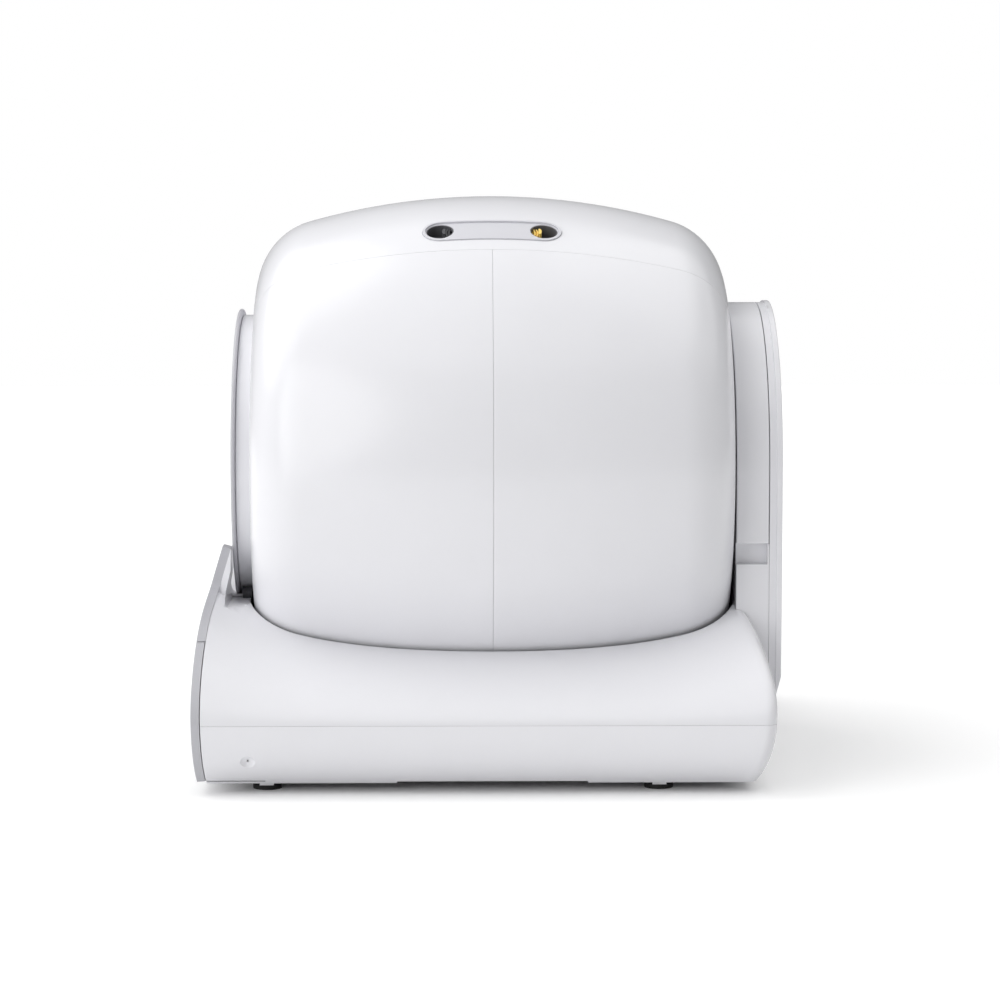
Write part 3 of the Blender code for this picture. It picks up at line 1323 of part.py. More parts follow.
def gearbox_and_motor():
    front, half = gearbox_front(), GEARBOX_WIDTH / 2
    low, high = PINION_HEIGHT - GEARBOX_HEIGHT / 2, PINION_HEIGHT + GEARBOX_HEIGHT / 2
    case = block("gearbox", (-half, front, low), (half, front + GEARBOX_DEPTH, high), dark_plastic)
    place = (0, PINION_HEIGHT)
    rear = front + GEARBOX_DEPTH / 2 + SEAT_GAP
    subtract(case, rod_y("shaft_socket", place, PINION_SHAFT_RADIUS + SEAT_GAP, 0, rear, None))
    centre = (front + GEARBOX_DEPTH / 2, PINION_HEIGHT)
    body = circle(MOTOR_RADIUS, FINE_STEPS, centre)
    along_x("drive_motor", body, half + SEAT_GAP, half + SEAT_GAP + MOTOR_LENGTH, steel)


def board():
    rear = PLATE_REAR - PLATE_WALL - STANDOFF
    front = rear - BOARD_THICKNESS
    half = BOARD_WIDTH / 2
    low = BOARD_Z - BOARD_HEIGHT / 2
    card = block("control_board", (-half, front, low), (half, rear, low + BOARD_HEIGHT), board_green)
    for k, (x, z, wide, tall) in enumerate(CHIP_SHARES):
        middle = (x * BOARD_WIDTH, BOARD_Z + z * BOARD_HEIGHT)
        reach = (wide * BOARD_WIDTH / 2, tall * BOARD_HEIGHT / 2)
        low_corner = (middle[0] - reach[0], front - CHIP_HEIGHT, middle[1] - reach[1])
        high_corner = (middle[0] + reach[0], front + BOARD_THICKNESS / 2, middle[1] + reach[1])
        unite(card, block("chip_%d" % k, low_corner, high_corner, None))
    inset = SCREW_HEAD_RADIUS * 2
    across, up = half - inset, BOARD_HEIGHT / 2 - inset
    corners = [(sx * across, BOARD_Z + sz * up) for sx in (-1, 1) for sz in (-1, 1)]
    for k, corner in enumerate(corners):
        peg = rod_y(
            "board_peg_%d" % k, corner, SCREW_HEAD_RADIUS, rear - BOARD_THICKNESS / 2,
            rear + STANDOFF - SEAT_GAP, None, steps=COARSE_STEPS,
        )
        unite(card, peg)


def power_inlet():
    half = INLET_SIZE / 2
    rear = PLATE_REAR - SEAT_GAP
    low, high = (INLET_X - half, rear - INLET_DEPTH, INLET_Z - half), (INLET_X + half, rear, INLET_Z + half)
    inlet = block("power_inlet", low, high, dark_plastic)
    depth = rear - INLET_DEPTH + PLATE_EDGE
    socket = tube_profile(depth, rear + OVERRUN, INLET_PIN, INLET_BORE)
    bore = lathe_y("inlet_bore", (INLET_X, INLET_Z), socket, None)
    subtract(inlet, bore)


# Assembly
def main():
    for old in list(bpy.data.objects):
        bpy.data.objects.remove(old)
    drum = pivot("drum_axis", (0, 0, AXIS_HEIGHT))
    cover_cut = cover_cutter(drum)
    drum_front_shell(drum, cover_cut)
    drum_rear_shell(drum, cover_cut)
    seam_band(drum)
    cover_frame(drum)
    entrance(drum)
    litter_liner(drum)
    sifter_comb(drum)
    waste_port(drum, pivot("shutter_axis", (0, PORT_FRONT, AXIS_HEIGHT), drum))
    ring_gear(drum)
    hub_and_bush(drum)
    home_sensing(drum)

    cover = pivot("cover_lift", (0, 0, AXIS_HEIGHT + DRUM_RADIUS), drum)
    top_cover(cover)
    for side, angle in grip_sides():
        grip_insert(cover, side, angle)
        for end in (-1, 1):
            place = on_grip(angle, end * WELL_SPACING / 2, 0, DRUM_RADIUS)
            name = "latch_line_%s_%s" % (side, "front" if end < 0 else "rear")
            latch_slider(pivot(name, place, cover), side, angle, end)

    base_shell()
    base_tray()
    front_panel()
    display_window()
    for name, side in (("power_button", -1), ("menu_button", 1)):
        place = (side * BUTTON_OFFSET, panel_face(), PANEL_CENTRE)
        panel_button(name, side, pivot(name + "_line", place))
    feet()
    weighing_cells()
    rollers({
        where: pivot("roller_axis_" + where, (side * ROLLER_X, ROLLER_Y, ROLLER_Z))
        for side, where in ((1, "near"), (-1, "far"))
    })

    drawer = pivot("drawer_line", (0, 0, DRAWER_BOTTOM))
    drawer_front(drawer)
    drawer_tray(drawer)
    bag_clips(drawer)

    tower_shell()
    arch_cover(pivot("arch_cover_line", (0, TOWER_FRONT, AXIS_HEIGHT + TOWER_RADIUS)))
    back_plate()
    back_plate_screws()
    stub_axle()
    drive_pinion(pivot("pinion_axis", (0, GEAR_FRONT, PINION_HEIGHT)))
    gearbox_and_motor()
    board()
    power_inlet()


main()
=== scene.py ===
"""A self cleaning litter box in white plastic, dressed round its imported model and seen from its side."""

import json
from math import asin, cos, degrees, pi, radians, sin, sqrt

import bmesh
import bpy
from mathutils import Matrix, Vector


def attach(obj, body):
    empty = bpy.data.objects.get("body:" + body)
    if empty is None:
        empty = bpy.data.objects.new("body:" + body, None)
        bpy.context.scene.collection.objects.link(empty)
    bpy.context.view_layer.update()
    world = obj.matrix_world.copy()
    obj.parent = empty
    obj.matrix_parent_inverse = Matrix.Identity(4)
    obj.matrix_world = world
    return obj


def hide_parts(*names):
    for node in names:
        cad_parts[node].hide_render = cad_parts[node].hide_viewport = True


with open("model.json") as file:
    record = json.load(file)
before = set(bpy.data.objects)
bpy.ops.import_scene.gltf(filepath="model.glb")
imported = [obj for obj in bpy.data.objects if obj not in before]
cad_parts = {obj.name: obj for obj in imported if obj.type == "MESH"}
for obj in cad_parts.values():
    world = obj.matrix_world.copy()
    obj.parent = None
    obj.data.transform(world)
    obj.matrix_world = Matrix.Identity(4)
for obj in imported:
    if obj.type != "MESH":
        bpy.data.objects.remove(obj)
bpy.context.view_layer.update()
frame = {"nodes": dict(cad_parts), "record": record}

# Sizes of the drum, in metres and degrees
AXIS_HEIGHT = 0.288
DRUM_RADIUS = 0.264
CROWN_RADIUS = 0.666
CORNER_RADIUS = 0.0706
DRUM_HALF_LENGTH = 0.232
SHELL_WALL = 0.0025
SEAM_GAP = 0.0008
FINE_GAP = 0.0002
SEAT_GAP = 0.0003
ENTRANCE_RADIUS = 0.140
DISH_RADIUS = 0.145
DISH_DEPTH = 0.0175
HUB_HOLE_RADIUS = 0.0225
COVER_START = 54.0
COVER_END = 126.0
COVER_INNER_RADIUS = 0.1505
PORT_START, PORT_END = 140, 165
PORT_FRONT, PORT_REAR = 0.025, 0.125
CORNER_Y = DRUM_HALF_LENGTH - CORNER_RADIUS
CROWN_CENTRE = DRUM_RADIUS - CROWN_RADIUS
CORNER_CENTRE = CROWN_CENTRE + sqrt((CROWN_RADIUS - CORNER_RADIUS) ** 2 - CORNER_Y ** 2)
CROWN_HALF_ANGLE = asin(CORNER_Y / (CROWN_RADIUS - CORNER_RADIUS))

# Sizes of the grips in the cover, and heights above the floor of their wells
GRIP_ANGLE = 61.6
GRIP_LENGTH = 0.134
GRIP_WIDTH = 0.0365
GRIP_RISE = 0.0012
GRIP_DEPTH = 0.018
GRIP_RIM = 0.0026
FIELD_DEPTH = 0.0004
WELL_SPACING = 0.100
WELL_RADIUS = 0.01325
WELL_DEPTH = 0.0150
WELL_FLOOR = DRUM_RADIUS - WELL_DEPTH
CUP_INSET = 0.0009
CUP_DEPTH = 0.019
CUP_OUTER_RADIUS = WELL_RADIUS - 0.0001
CUP_INNER_RADIUS = WELL_RADIUS - 0.0008
SLIDE_HALF_WIDTH = 0.0078
SLIDE_HEIGHT = 0.0113
WEB_HALF_LENGTH = 0.0322
WEB_HALF_WIDTH = 0.015
WEB_DROP, WEB_HEIGHT = 0.002, 0.013

# Sizes of the latches: how far they reach from the middle of the grip, and their heights
TAB_INNER, TAB_OUTER = 0.0385, 0.0480
TAB_HALF_WIDTH = 0.0075
TAB_NOSE = 0.0035
TAB_HEIGHT = 0.0085
HOOK_INNER = 0.0449
HOOK_HALF_WIDTH = 0.0052
HOOK_BOW = 0.0022
HOOK_HEIGHT = 0.0128
RIDGES = 3
RIDGE_START = 0.0012
RIDGE_PITCH = 0.0026
RIDGE_WIDTH = 0.0011
RIDGE_BOW = 0.0012
RIDGE_SHARE = 0.92
RIDGE_ROOT, RIDGE_HEIGHT = 0.004, 0.011

# Sizes of the collar and the entrance ring
RING_FRONT = 0.2516
RING_BACK = 0.2476
RING_RADIUS = 0.1515
RING_BORE = 0.1345
RING_SLEEVE_RADIUS = 0.1372
RING_SLEEVE_LENGTH = 0.034
RING_LIP_RADIUS = 0.0026
COLLAR_RADIUS = 0.1455
COLLAR_BORE = 0.1375
SPIGOT_LENGTH = 0.0095

# Sizes of the base
BASE_HALF_WIDTH = 0.310
BASE_BOTTOM = 0.0095
BASE_WALL = 0.003
BOTTOM_TUCK = 0.030
PARTING_HEIGHT = 0.068
CORNER_RUN = 0.012
SHOULDER_POWER = 1.7
FRONT_REACH = 0.2793
FRONT_BELLY = 0.100
FRONT_LEAN = 0.30
FRONT_TOP = 0.2610
REAR_REACH = 0.262
REAR_RADIUS = 0.155
REAR_BELLY = 0.080
HORN_HEIGHT = 0.215
HORN_ROOT = 0.140
HORN_SIDE = 0.137
HORN_FLARE = 0.25
TRIM_THICKNESS = 0.0078
TRIM_GAP = 0.0008
TRIM_OFFSET = TRIM_THICKNESS + TRIM_GAP
SPLIT_HEIGHT = 0.137
TONGUE_DROP = 0.019
TONGUE_TOP, TONGUE_FOOT = 0.100, 0.080
ARCH_RADIUS = 0.137
DRAWER_HALF_WIDTH = 0.2848
DRAWER_FLOOR = 0.012
ROLLER_CENTRE = (0.08879, 0.161195)
BUTTON_SPREAD = 0.056
BUTTON_HEIGHT = 0.1345
BUTTON_RADIUS = 0.006
BUTTON_HOLE_RADIUS = 0.0063
DIMPLE_RADIUS = 0.0102
DIMPLE_DEPTH = 0.0016
DIMPLE_PLACE = (-0.227, 0.030)

# Sizes of the tower
TOWER_HALF_WIDTH = 0.158
TOWER_FRONT, TOWER_BACK = 0.235, 0.2665
TOWER_FOOT = 0.082
TOWER_WALL = 0.0025
ARCH_FOOT = 0.219
ARCH_BACK = 0.2662
ARCH_INNER_RADIUS = 0.155
ARCH_GAP = 0.0003
RECESS_DEPTH = 0.0095
RECESS_FOOT = 0.199
RECESS_WALL = 0.003
PLATE_FRONT, PLATE_STEP, PLATE_EDGE, PLATE_BACK = 0.2668, 0.2733, 0.2775, 0.279
PLATE_RADIUS = 0.160
PLATE_ROUNDING = 0.0015
PLATE_FOOT, PLATE_BACK_FOOT = 0.070, 0.091
POCKET_FOOT = 0.097
POCKET_FLOOR = 0.2755
SCREW_INSET = 0.00175 + 0.0064
SCREW_ANGLE = 50
SCREW_WELL_RADIUS = 0.0035
SCREW_WELL_FLOOR = 0.2772

# Fineness of the meshes
TURN_STEP = 1.8
COVER_STEP = 1.0
GRIP_STEP = 0.6
CROWN_POINTS = 18
CORNER_POINTS = 14
MERGE_DISTANCE = 0.000002
SHARP_ANGLE = 32.0
CUT_REACH = 0.02
FAR = 0.33


# Materials
def grained(
    name, colour, roughness, grain, relief_share, spread=0.04, metallic=0.0, tint=0.03, coat=0.0,
    stretch=(1.0, 1.0, 1.0),
):
    """A moulded, rolled or drawn surface: fine grain in its relief, slow drifts in its colour and gloss."""
    made = bpy.data.materials.new(name)
    made.use_nodes = True
    nodes, links = made.node_tree.nodes, made.node_tree.links

    def noise(place, scale, detail):
        node = nodes.new("ShaderNodeTexNoise")
        node.inputs["Scale"].default_value = scale
        node.inputs["Detail"].default_value = detail
        links.new(place, node.inputs["Vector"])
        return node.outputs["Fac"]

    shader = nodes["Principled BSDF"]
    shader.inputs["Metallic"].default_value = metallic
    shader.inputs["Coat Weight"].default_value = coat
    shader.inputs["Coat Roughness"].default_value = 0.08
    place = nodes.new("ShaderNodeTexCoord").outputs["Object"]
    drift = noise(place, 14.0, 3.0)
    stretched = nodes.new("ShaderNodeMapping")
    stretched.inputs["Scale"].default_value = stretch
    links.new(place, stretched.inputs["Vector"])
    fine = noise(stretched.outputs["Vector"], grain, 2.0)
    ramp = nodes.new("ShaderNodeValToRGB")
    low, high = ramp.color_ramp.elements
    low.position, high.position = 0.3, 0.7
    low.color = (*[c * (1 - tint) for c in colour], 1)
    high.color = (*[min(c * (1 + tint), 1) for c in colour], 1)
    gloss = nodes.new("ShaderNodeMapRange")
    gloss.inputs["To Min"].default_value = max(roughness - spread, 0.03)
    gloss.inputs["To Max"].default_value = roughness + spread
    relief = nodes.new("ShaderNodeBump")
    relief.inputs["Strength"].default_value = relief_share
    relief.inputs["Distance"].default_value = 0.0001
    links.new(drift, ramp.inputs["Fac"])
    links.new(ramp.outputs["Color"], shader.inputs["Base Color"])
    links.new(drift, gloss.inputs["Value"])
    links.new(gloss.outputs["Result"], shader.inputs["Roughness"])
    links.new(fine, relief.inputs["Height"])
    links.new(relief.outputs["Normal"], shader.inputs["Normal"])
    return made


WHITE_SHELL = grained("glossy white shell", (0.83, 0.83, 0.86), 0.20, 1200.0, 0.06, 0.03, tint=0.006)
GREY_TRIM = grained("satin grey trim", (0.50, 0.50, 0.53), 0.34, 1500.0, 0.2, tint=0.012)
LIGHT_GREY = grained("light grey insert", (0.66, 0.66, 0.70), 0.36, 1500.0, 0.2, tint=0.012)
DARK_PLASTIC = grained("dark grey plastic", (0.060, 0.060, 0.068), 0.42, 1400.0, 0.5, tint=0.08)
WELL_GREY = grained("dark grey finger well", (0.13, 0.13, 0.14), 0.40, 1400.0, 0.4, tint=0.05)
YELLOW_PLASTIC = grained("yellow latch plastic", (0.95, 0.68, 0.16), 0.35, 1400.0, 0.2, tint=0.02)
BLACK_RUBBER = grained("black rubber", (0.022, 0.022, 0.022), 0.75, 900.0, 1.0, 0.05, tint=0.1)
GREY_RUBBER = grained("grey liner rubber", (0.26, 0.26, 0.28), 0.70, 700.0, 1.0, 0.06, tint=0.06)
TINTED_WINDOW = grained("tinted window", (0.010, 0.010, 0.012), 0.07, 1500.0, 0.01, 0.01, coat=0.5)
STEEL = grained("brushed steel", (0.60, 0.60, 0.62), 0.32, 400.0, 0.3, 0.08, 1.0, stretch=(1.0, 12.0, 1.0))
BRONZE = grained("bush bronze", (0.55, 0.38, 0.18), 0.38, 400.0, 0.3, 0.08, 1.0, stretch=(1.0, 8.0, 1.0))
BOARD_GREEN = grained("board lacquer", (0.03, 0.18, 0.08), 0.45, 500.0, 0.5, tint=0.1)


# Steps that every made piece goes through
def draft(name, points, faces):
    """An object at the origin with a mesh of its own, linked to the scene."""
    mesh = bpy.data.meshes.new(name)
    mesh.from_pydata([tuple(point) for point in points], [], faces)
    made = bpy.data.objects.new(name, mesh)
    bpy.context.scene.collection.objects.link(made)
    return made


def outward(made):
    """Merges doubles and turns the faces of a closed shape outwards."""
    shape = bmesh.new()
    shape.from_mesh(made.data)
    bmesh.ops.remove_doubles(shape, verts=shape.verts, dist=MERGE_DISTANCE)
    bmesh.ops.recalc_face_normals(shape, faces=shape.faces)
    if shape.calc_volume(signed=True) < 0:
        bmesh.ops.reverse_faces(shape, faces=shape.faces)
    shape.to_mesh(made.data)
    shape.free()
    return made


def settled(made, finish, sharp=SHARP_ANGLE):
    """The piece with its modifiers worked in: a plain mesh at the origin, smooth but for its sharp edges."""
    graph = bpy.context.evaluated_depsgraph_get()
    mesh = bpy.data.meshes.new_from_object(made.evaluated_get(graph))
    name = made.name
    bpy.data.objects.remove(made)
    mesh.name = name
    mesh.materials.clear()
    mesh.materials.append(finish)
    mesh.shade_smooth()
    mesh.set_sharp_from_angle(angle=radians(sharp))
    plain = bpy.data.objects.new(name, mesh)
    bpy.context.scene.collection.objects.link(plain)
    shading = plain.modifiers.new("flat faces stay flat", "WEIGHTED_NORMAL")
    shading.keep_sharp = True
    shading.weight = 100
    return plain_mesh(plain)


def dress(piece, body, nodes):
    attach(piece, body)
    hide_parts(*nodes)
    return piece


def ease(made, width, segments=2, angle=SHARP_ANGLE):
    """Rounds each sharp edge a little, as a mould does."""
    rounding = made.modifiers.new("eased edges", "BEVEL")
    rounding.width = width
    rounding.segments = segments
    rounding.limit_method = "ANGLE"
    rounding.angle_limit = radians(angle)
    rounding.miter_outer = "MITER_ARC"
    return made


def thicken(made, wall):
    skin = made.modifiers.new("wall", "SOLIDIFY")
    skin.thickness = wall
    skin.offset = -1.0
    skin.use_even_offset = True
    return made


def work(made, other, operation):
    """Cuts or joins a piece with another, which is used up."""
    cut = made.modifiers.new(other.name, "BOOLEAN")
    cut.operation = operation
    cut.object = other
    cut.solver = "EXACT"
    graph = bpy.context.evaluated_depsgraph_get()
    mesh = bpy.data.meshes.new_from_object(made.evaluated_get(graph))
    made.modifiers.clear()
    made.data = mesh
    bpy.data.objects.remove(other)
    return made


def cut_by(made, *others):
    for other in others:
        work(made, other, "DIFFERENCE")
    return made


def split_faces(made):
    """Faces of many corners become triangles, so that a hole in one of them stays a hole."""
    shape = bmesh.new()
    shape.from_mesh(made.data)
    bmesh.ops.triangulate(shape, faces=[face for face in shape.faces if len(face.verts) > 4])
    shape.to_mesh(made.data)
    shape.free()


def node_maths(tree):
    """A function that makes maths nodes in a tree, with numbers or sockets as their values."""
    def maths(operation, *values):
        node = tree.nodes.new("ShaderNodeMath")
        node.operation = operation
        for socket, value in zip(node.inputs, values):
            if isinstance(value, (int, float)):
                socket.default_value = value
            else:
                tree.links.new(value, socket)
        return node.outputs[0]

    return maths


# Turned pieces: a geometry tree sweeps an outline of (radius, along) points about the drum axis
def turning_tree():
    tree = bpy.data.node_groups.new("turned about the drum axis", "GeometryNodeTree")
    inputs = [("Outline", "Geometry"), ("Points", "Int"), ("Steps", "Int")]
    measures = ("Start", "End", "Axis height", "Opening start", "Opening end", "Opening radius")
    inputs += [(name, "Float") for name in measures] + [("Finish", "Material")]
    for name, kind in inputs:
        tree.interface.new_socket(name, in_out="INPUT", socket_type="NodeSocket" + kind)
    tree.interface.new_socket("Geometry", in_out="OUTPUT", socket_type="NodeSocketGeometry")
    nodes, links = tree.nodes, tree.links
    given = nodes.new("NodeGroupInput").outputs
    result = nodes.new("NodeGroupOutput").inputs

    maths = node_maths(tree)
    grid = nodes.new("GeometryNodeMeshGrid")
    grid.inputs["Size X"].default_value = 1.0
    grid.inputs["Size Y"].default_value = 1.0
    links.new(given["Points"], grid.inputs["Vertices X"])
    links.new(maths("ADD", given["Steps"], 1), grid.inputs["Vertices Y"])
    where = nodes.new("GeometryNodeInputPosition").outputs[0]
    split = nodes.new("ShaderNodeSeparateXYZ")
    links.new(where, split.inputs[0])
    along, around = maths("ADD", split.outputs["X"], 0.5), maths("ADD", split.outputs["Y"], 0.5)
    picked = nodes.new("GeometryNodeSampleIndex")
    picked.data_type = "FLOAT_VECTOR"
    picked.clamp = True
    links.new(given["Outline"], picked.inputs["Geometry"])
    links.new(where, picked.inputs["Value"])
    last = maths("SUBTRACT", given["Points"], 1)
    links.new(maths("ROUND", maths("MULTIPLY", along, last)), picked.inputs["Index"])
    outline = nodes.new("ShaderNodeSeparateXYZ")
    links.new(picked.outputs[0], outline.inputs[0])
    radius, length = outline.outputs["X"], outline.outputs["Y"]
    sweep = maths("SUBTRACT", given["End"], given["Start"])
    angle = maths("ADD", given["Start"], maths("MULTIPLY", sweep, around))
    turn = maths("RADIANS", angle)
    place = nodes.new("ShaderNodeCombineXYZ")
    links.new(maths("MULTIPLY", radius, maths("COSINE", turn)), place.inputs["X"])
    links.new(length, place.inputs["Y"])
    high = maths("ADD", given["Axis height"], maths("MULTIPLY", radius, maths("SINE", turn)))
    links.new(high, place.inputs["Z"])
    kept = grid.outputs["Mesh"]
    for name, value in (("turn", angle), ("reach", radius)):
        store = nodes.new("GeometryNodeStoreNamedAttribute")
        store.data_type = "FLOAT"
        store.domain = "POINT"
        store.inputs["Name"].default_value = name
        links.new(kept, store.inputs["Geometry"])
        links.new(value, store.inputs["Value"])
        kept = store.outputs["Geometry"]
    placed = nodes.new("GeometryNodeSetPosition")
    links.new(kept, placed.inputs["Geometry"])
    links.new(place.outputs[0], placed.inputs["Position"])
    stored = {}
    for name in ("turn", "reach"):
        read = nodes.new("GeometryNodeInputNamedAttribute")
        read.data_type = "FLOAT"
        read.inputs["Name"].default_value = name
        stored[name] = read.outputs["Attribute"]
    inside = maths("MULTIPLY", maths("GREATER_THAN", stored["turn"], given["Opening start"]),
                   maths("LESS_THAN", stored["turn"], given["Opening end"]))
    inside = maths("MULTIPLY", inside, maths("GREATER_THAN", stored["reach"], given["Opening radius"]))
    removed = nodes.new("GeometryNodeDeleteGeometry")
    removed.domain = "FACE"
    links.new(placed.outputs["Geometry"], removed.inputs["Geometry"])
    links.new(maths("GREATER_THAN", inside, 0.5), removed.inputs["Selection"])
    joined = nodes.new("GeometryNodeMergeByDistance")
    joined.inputs["Distance"].default_value = MERGE_DISTANCE
    links.new(removed.outputs["Geometry"], joined.inputs["Geometry"])
    real = nodes.new("GeometryNodeRealizeInstances")
    links.new(joined.outputs["Geometry"], real.inputs["Geometry"])
    painted = nodes.new("GeometryNodeSetMaterial")
    links.new(real.outputs["Geometry"], painted.inputs["Geometry"])
    links.new(given["Finish"], painted.inputs["Material"])
    links.new(painted.outputs["Geometry"], result["Geometry"])
    return tree


TURNING = turning_tree()
NO_OPENING = (0.0, 0.0, 9.0)


def give(made, tree, **values):
    """Puts a geometry tree on a piece and sets the tree's inputs by their identifiers."""
    modifier = made.modifiers.new(tree.name, "NODES")
    modifier.node_group = tree
    sockets = {
        socket.name: socket.identifier for socket in tree.interface.items_tree
        if socket.item_type == "SOCKET" and socket.in_out == "INPUT"
    }
    for name, value in values.items():
        modifier[sockets[name.replace("_", " ")]] = value
    return modifier


def plain_mesh(made):
    """Works a piece's modifiers into its mesh."""
    graph = bpy.context.evaluated_depsgraph_get()
    mesh = bpy.data.meshes.new_from_object(made.evaluated_get(graph))
    made.modifiers.clear()
    made.data = mesh
    for name in ("turn", "reach"):
        if name in mesh.attributes:
            mesh.attributes.remove(mesh.attributes[name])
    return made


def turned(name, outline, finish, start=0.0, end=360.0, step=TURN_STEP, opening=NO_OPENING):
    """A surface of (along, radius) points turned between two angles, less a sector past a radius."""
    points = [(radius, along, 0) for along, radius in outline]
    made = draft(name, points, [])
    first, last, radius = opening
    give(
        made, TURNING, Points=len(points), Steps=max(int(round((end - start) / step)), 1), Start=float(start),
        End=float(end), Axis_height=AXIS_HEIGHT, Opening_start=first, Opening_end=last, Opening_radius=radius,
        Finish=finish,
    )
    return plain_mesh(made)


def faced_outward(made, inside):
    """Turns an open surface so that its faces point away from a point inside it."""
    shape = bmesh.new()
    shape.from_mesh(made.data)
    bmesh.ops.recalc_face_normals(shape, faces=shape.faces)
    total = 0
    for face in shape.faces:
        total += (face.calc_center_median() - Vector(inside)).dot(face.normal) * face.calc_area()
    if total < 0:
        bmesh.ops.reverse_faces(shape, faces=shape.faces)
    shape.to_mesh(made.data)
    shape.free()
    return made


# Outlines of the drum
def drum_side(inset, from_y, end_radius, direction=1):
    """Outer (along, radius) points from a plane near the middle, over the corner, to a radius on the end."""
    crown, corner = CROWN_RADIUS - inset, CORNER_RADIUS - inset
    first = asin(from_y / crown)
    points = []
    for k in range(CROWN_POINTS + 1):
        turn = first + (CROWN_HALF_ANGLE - first) * k / CROWN_POINTS
        points.append((crown * sin(turn), CROWN_CENTRE + crown * cos(turn)))
    for k in range(1, CORNER_POINTS + 1):
        turn = CROWN_HALF_ANGLE + (pi / 2 - CROWN_HALF_ANGLE) * k / CORNER_POINTS
        points.append((CORNER_Y + corner * sin(turn), CORNER_CENTRE + corner * cos(turn)))
    if end_radius < CORNER_CENTRE - SEAM_GAP:
        for share in (1, 2):
            radius = CORNER_CENTRE + (end_radius - CORNER_CENTRE) * share / 2
            points.append((DRUM_HALF_LENGTH - inset, radius))
    return [(direction * y, radius) for y, radius in points]


def whole_side(inset, end_radius):
    """The outline from the front end face over the crown to the rear end face."""
    front = drum_side(inset, 0, end_radius, -1)[::-1]
    return front[:-1] + drum_side(inset, 0, end_radius)


def drum_radius_at(y, inset=0.0):
    crown, corner = CROWN_RADIUS - inset, CORNER_RADIUS - inset
    if abs(y) <= crown * sin(CROWN_HALF_ANGLE):
        return CROWN_CENTRE + sqrt(crown ** 2 - y ** 2)
    return CORNER_CENTRE + sqrt(max(corner ** 2 - (abs(y) - CORNER_Y) ** 2, 0))


def band_outline(inset, front, rear, steps=40):
    stations = [front + (rear - front) * k / steps for k in range(steps + 1)]
    return [(y, drum_radius_at(y, inset)) for y in stations]


def side_faces(count, size, closed=False):
    """The faces between so many rings, each of so many points."""
    faces = []
    for i in range(count if closed else count - 1):
        here, there = i * size, (i + 1) % count * size
        faces += [(here + j, here + (j + 1) % size, there + (j + 1) % size, there + j) for j in range(size)]
    return faces


def end_strips(count, size):
    """Faces that fill the first and the last ring, between the two halves of each."""
    faces = []
    for first in (0, (count - 1) * size):
        last = first + size - 1
        faces += [(first + j, first + j + 1, last - 1 - j, last - j) for j in range(size // 2 - 1)]
    return faces


def prism_faces(size, count=2):
    """Both end faces and the sides of a body made of rings."""
    last = count * size - 1
    return [tuple(range(size)), tuple(range(last, last - size, -1))] + side_faces(count, size)


def turned_slab(name, outer, inner, start, end, step=TURN_STEP):
    """A closed piece between an outer and an inner outline, turned between two angles."""
    count = max(int(round((end - start) / step)), 1)
    whole = end - start >= 360
    angles = [radians(start + (end - start) * k / count) for k in range(count + (0 if whole else 1))]
    loop = outer + inner[::-1]
    points = [(r * cos(a), y, AXIS_HEIGHT + r * sin(a)) for a in angles for y, r in loop]
    faces = side_faces(len(angles), len(loop), whole)
    if not whole:
        faces += end_strips(len(angles), len(loop))
    return outward(draft(name, points, faces))


def radial_prism(name, angle, outline, low, high):
    """A prism of (along, across) points that runs out from the axis at an angle."""
    run, rise = cos(radians(angle)), sin(radians(angle))
    points = []
    for radius in (low, high):
        for y, across in outline:
            points.append((radius * run - across * rise, y, AXIS_HEIGHT + radius * rise + across * run))
    return outward(draft(name, points, prism_faces(len(outline))))


def prism(name, outline, low, high, along="y"):
    """A prism of an outline: (x, z) points along Y, (y, z) points along X, or (x, y) points along Z."""
    put = {
        "y": lambda a, b, c: (a, c, b),
        "x": lambda a, b, c: (c, a, b),
        "z": lambda a, b, c: (a, b, c),
    }[along]
    points = [put(a, b, c) for c in (low, high) for a, b in outline]
    return outward(draft(name, points, prism_faces(len(outline))))


def ring_points(radius, centre=(0.0, 0.0), steps=96):
    return [
        (centre[0] + radius * cos(2 * pi * k / steps), centre[1] + radius * sin(2 * pi * k / steps))
        for k in range(steps)
    ]


def pill(length, width, steps=24):
    radius = width / 2
    points = []
    for end in (1, -1):
        for k in range(steps + 1):
            turn = pi * k / steps - pi / 2
            points.append((end * (length / 2 - radius + radius * cos(turn)), end * radius * sin(turn)))
    return points


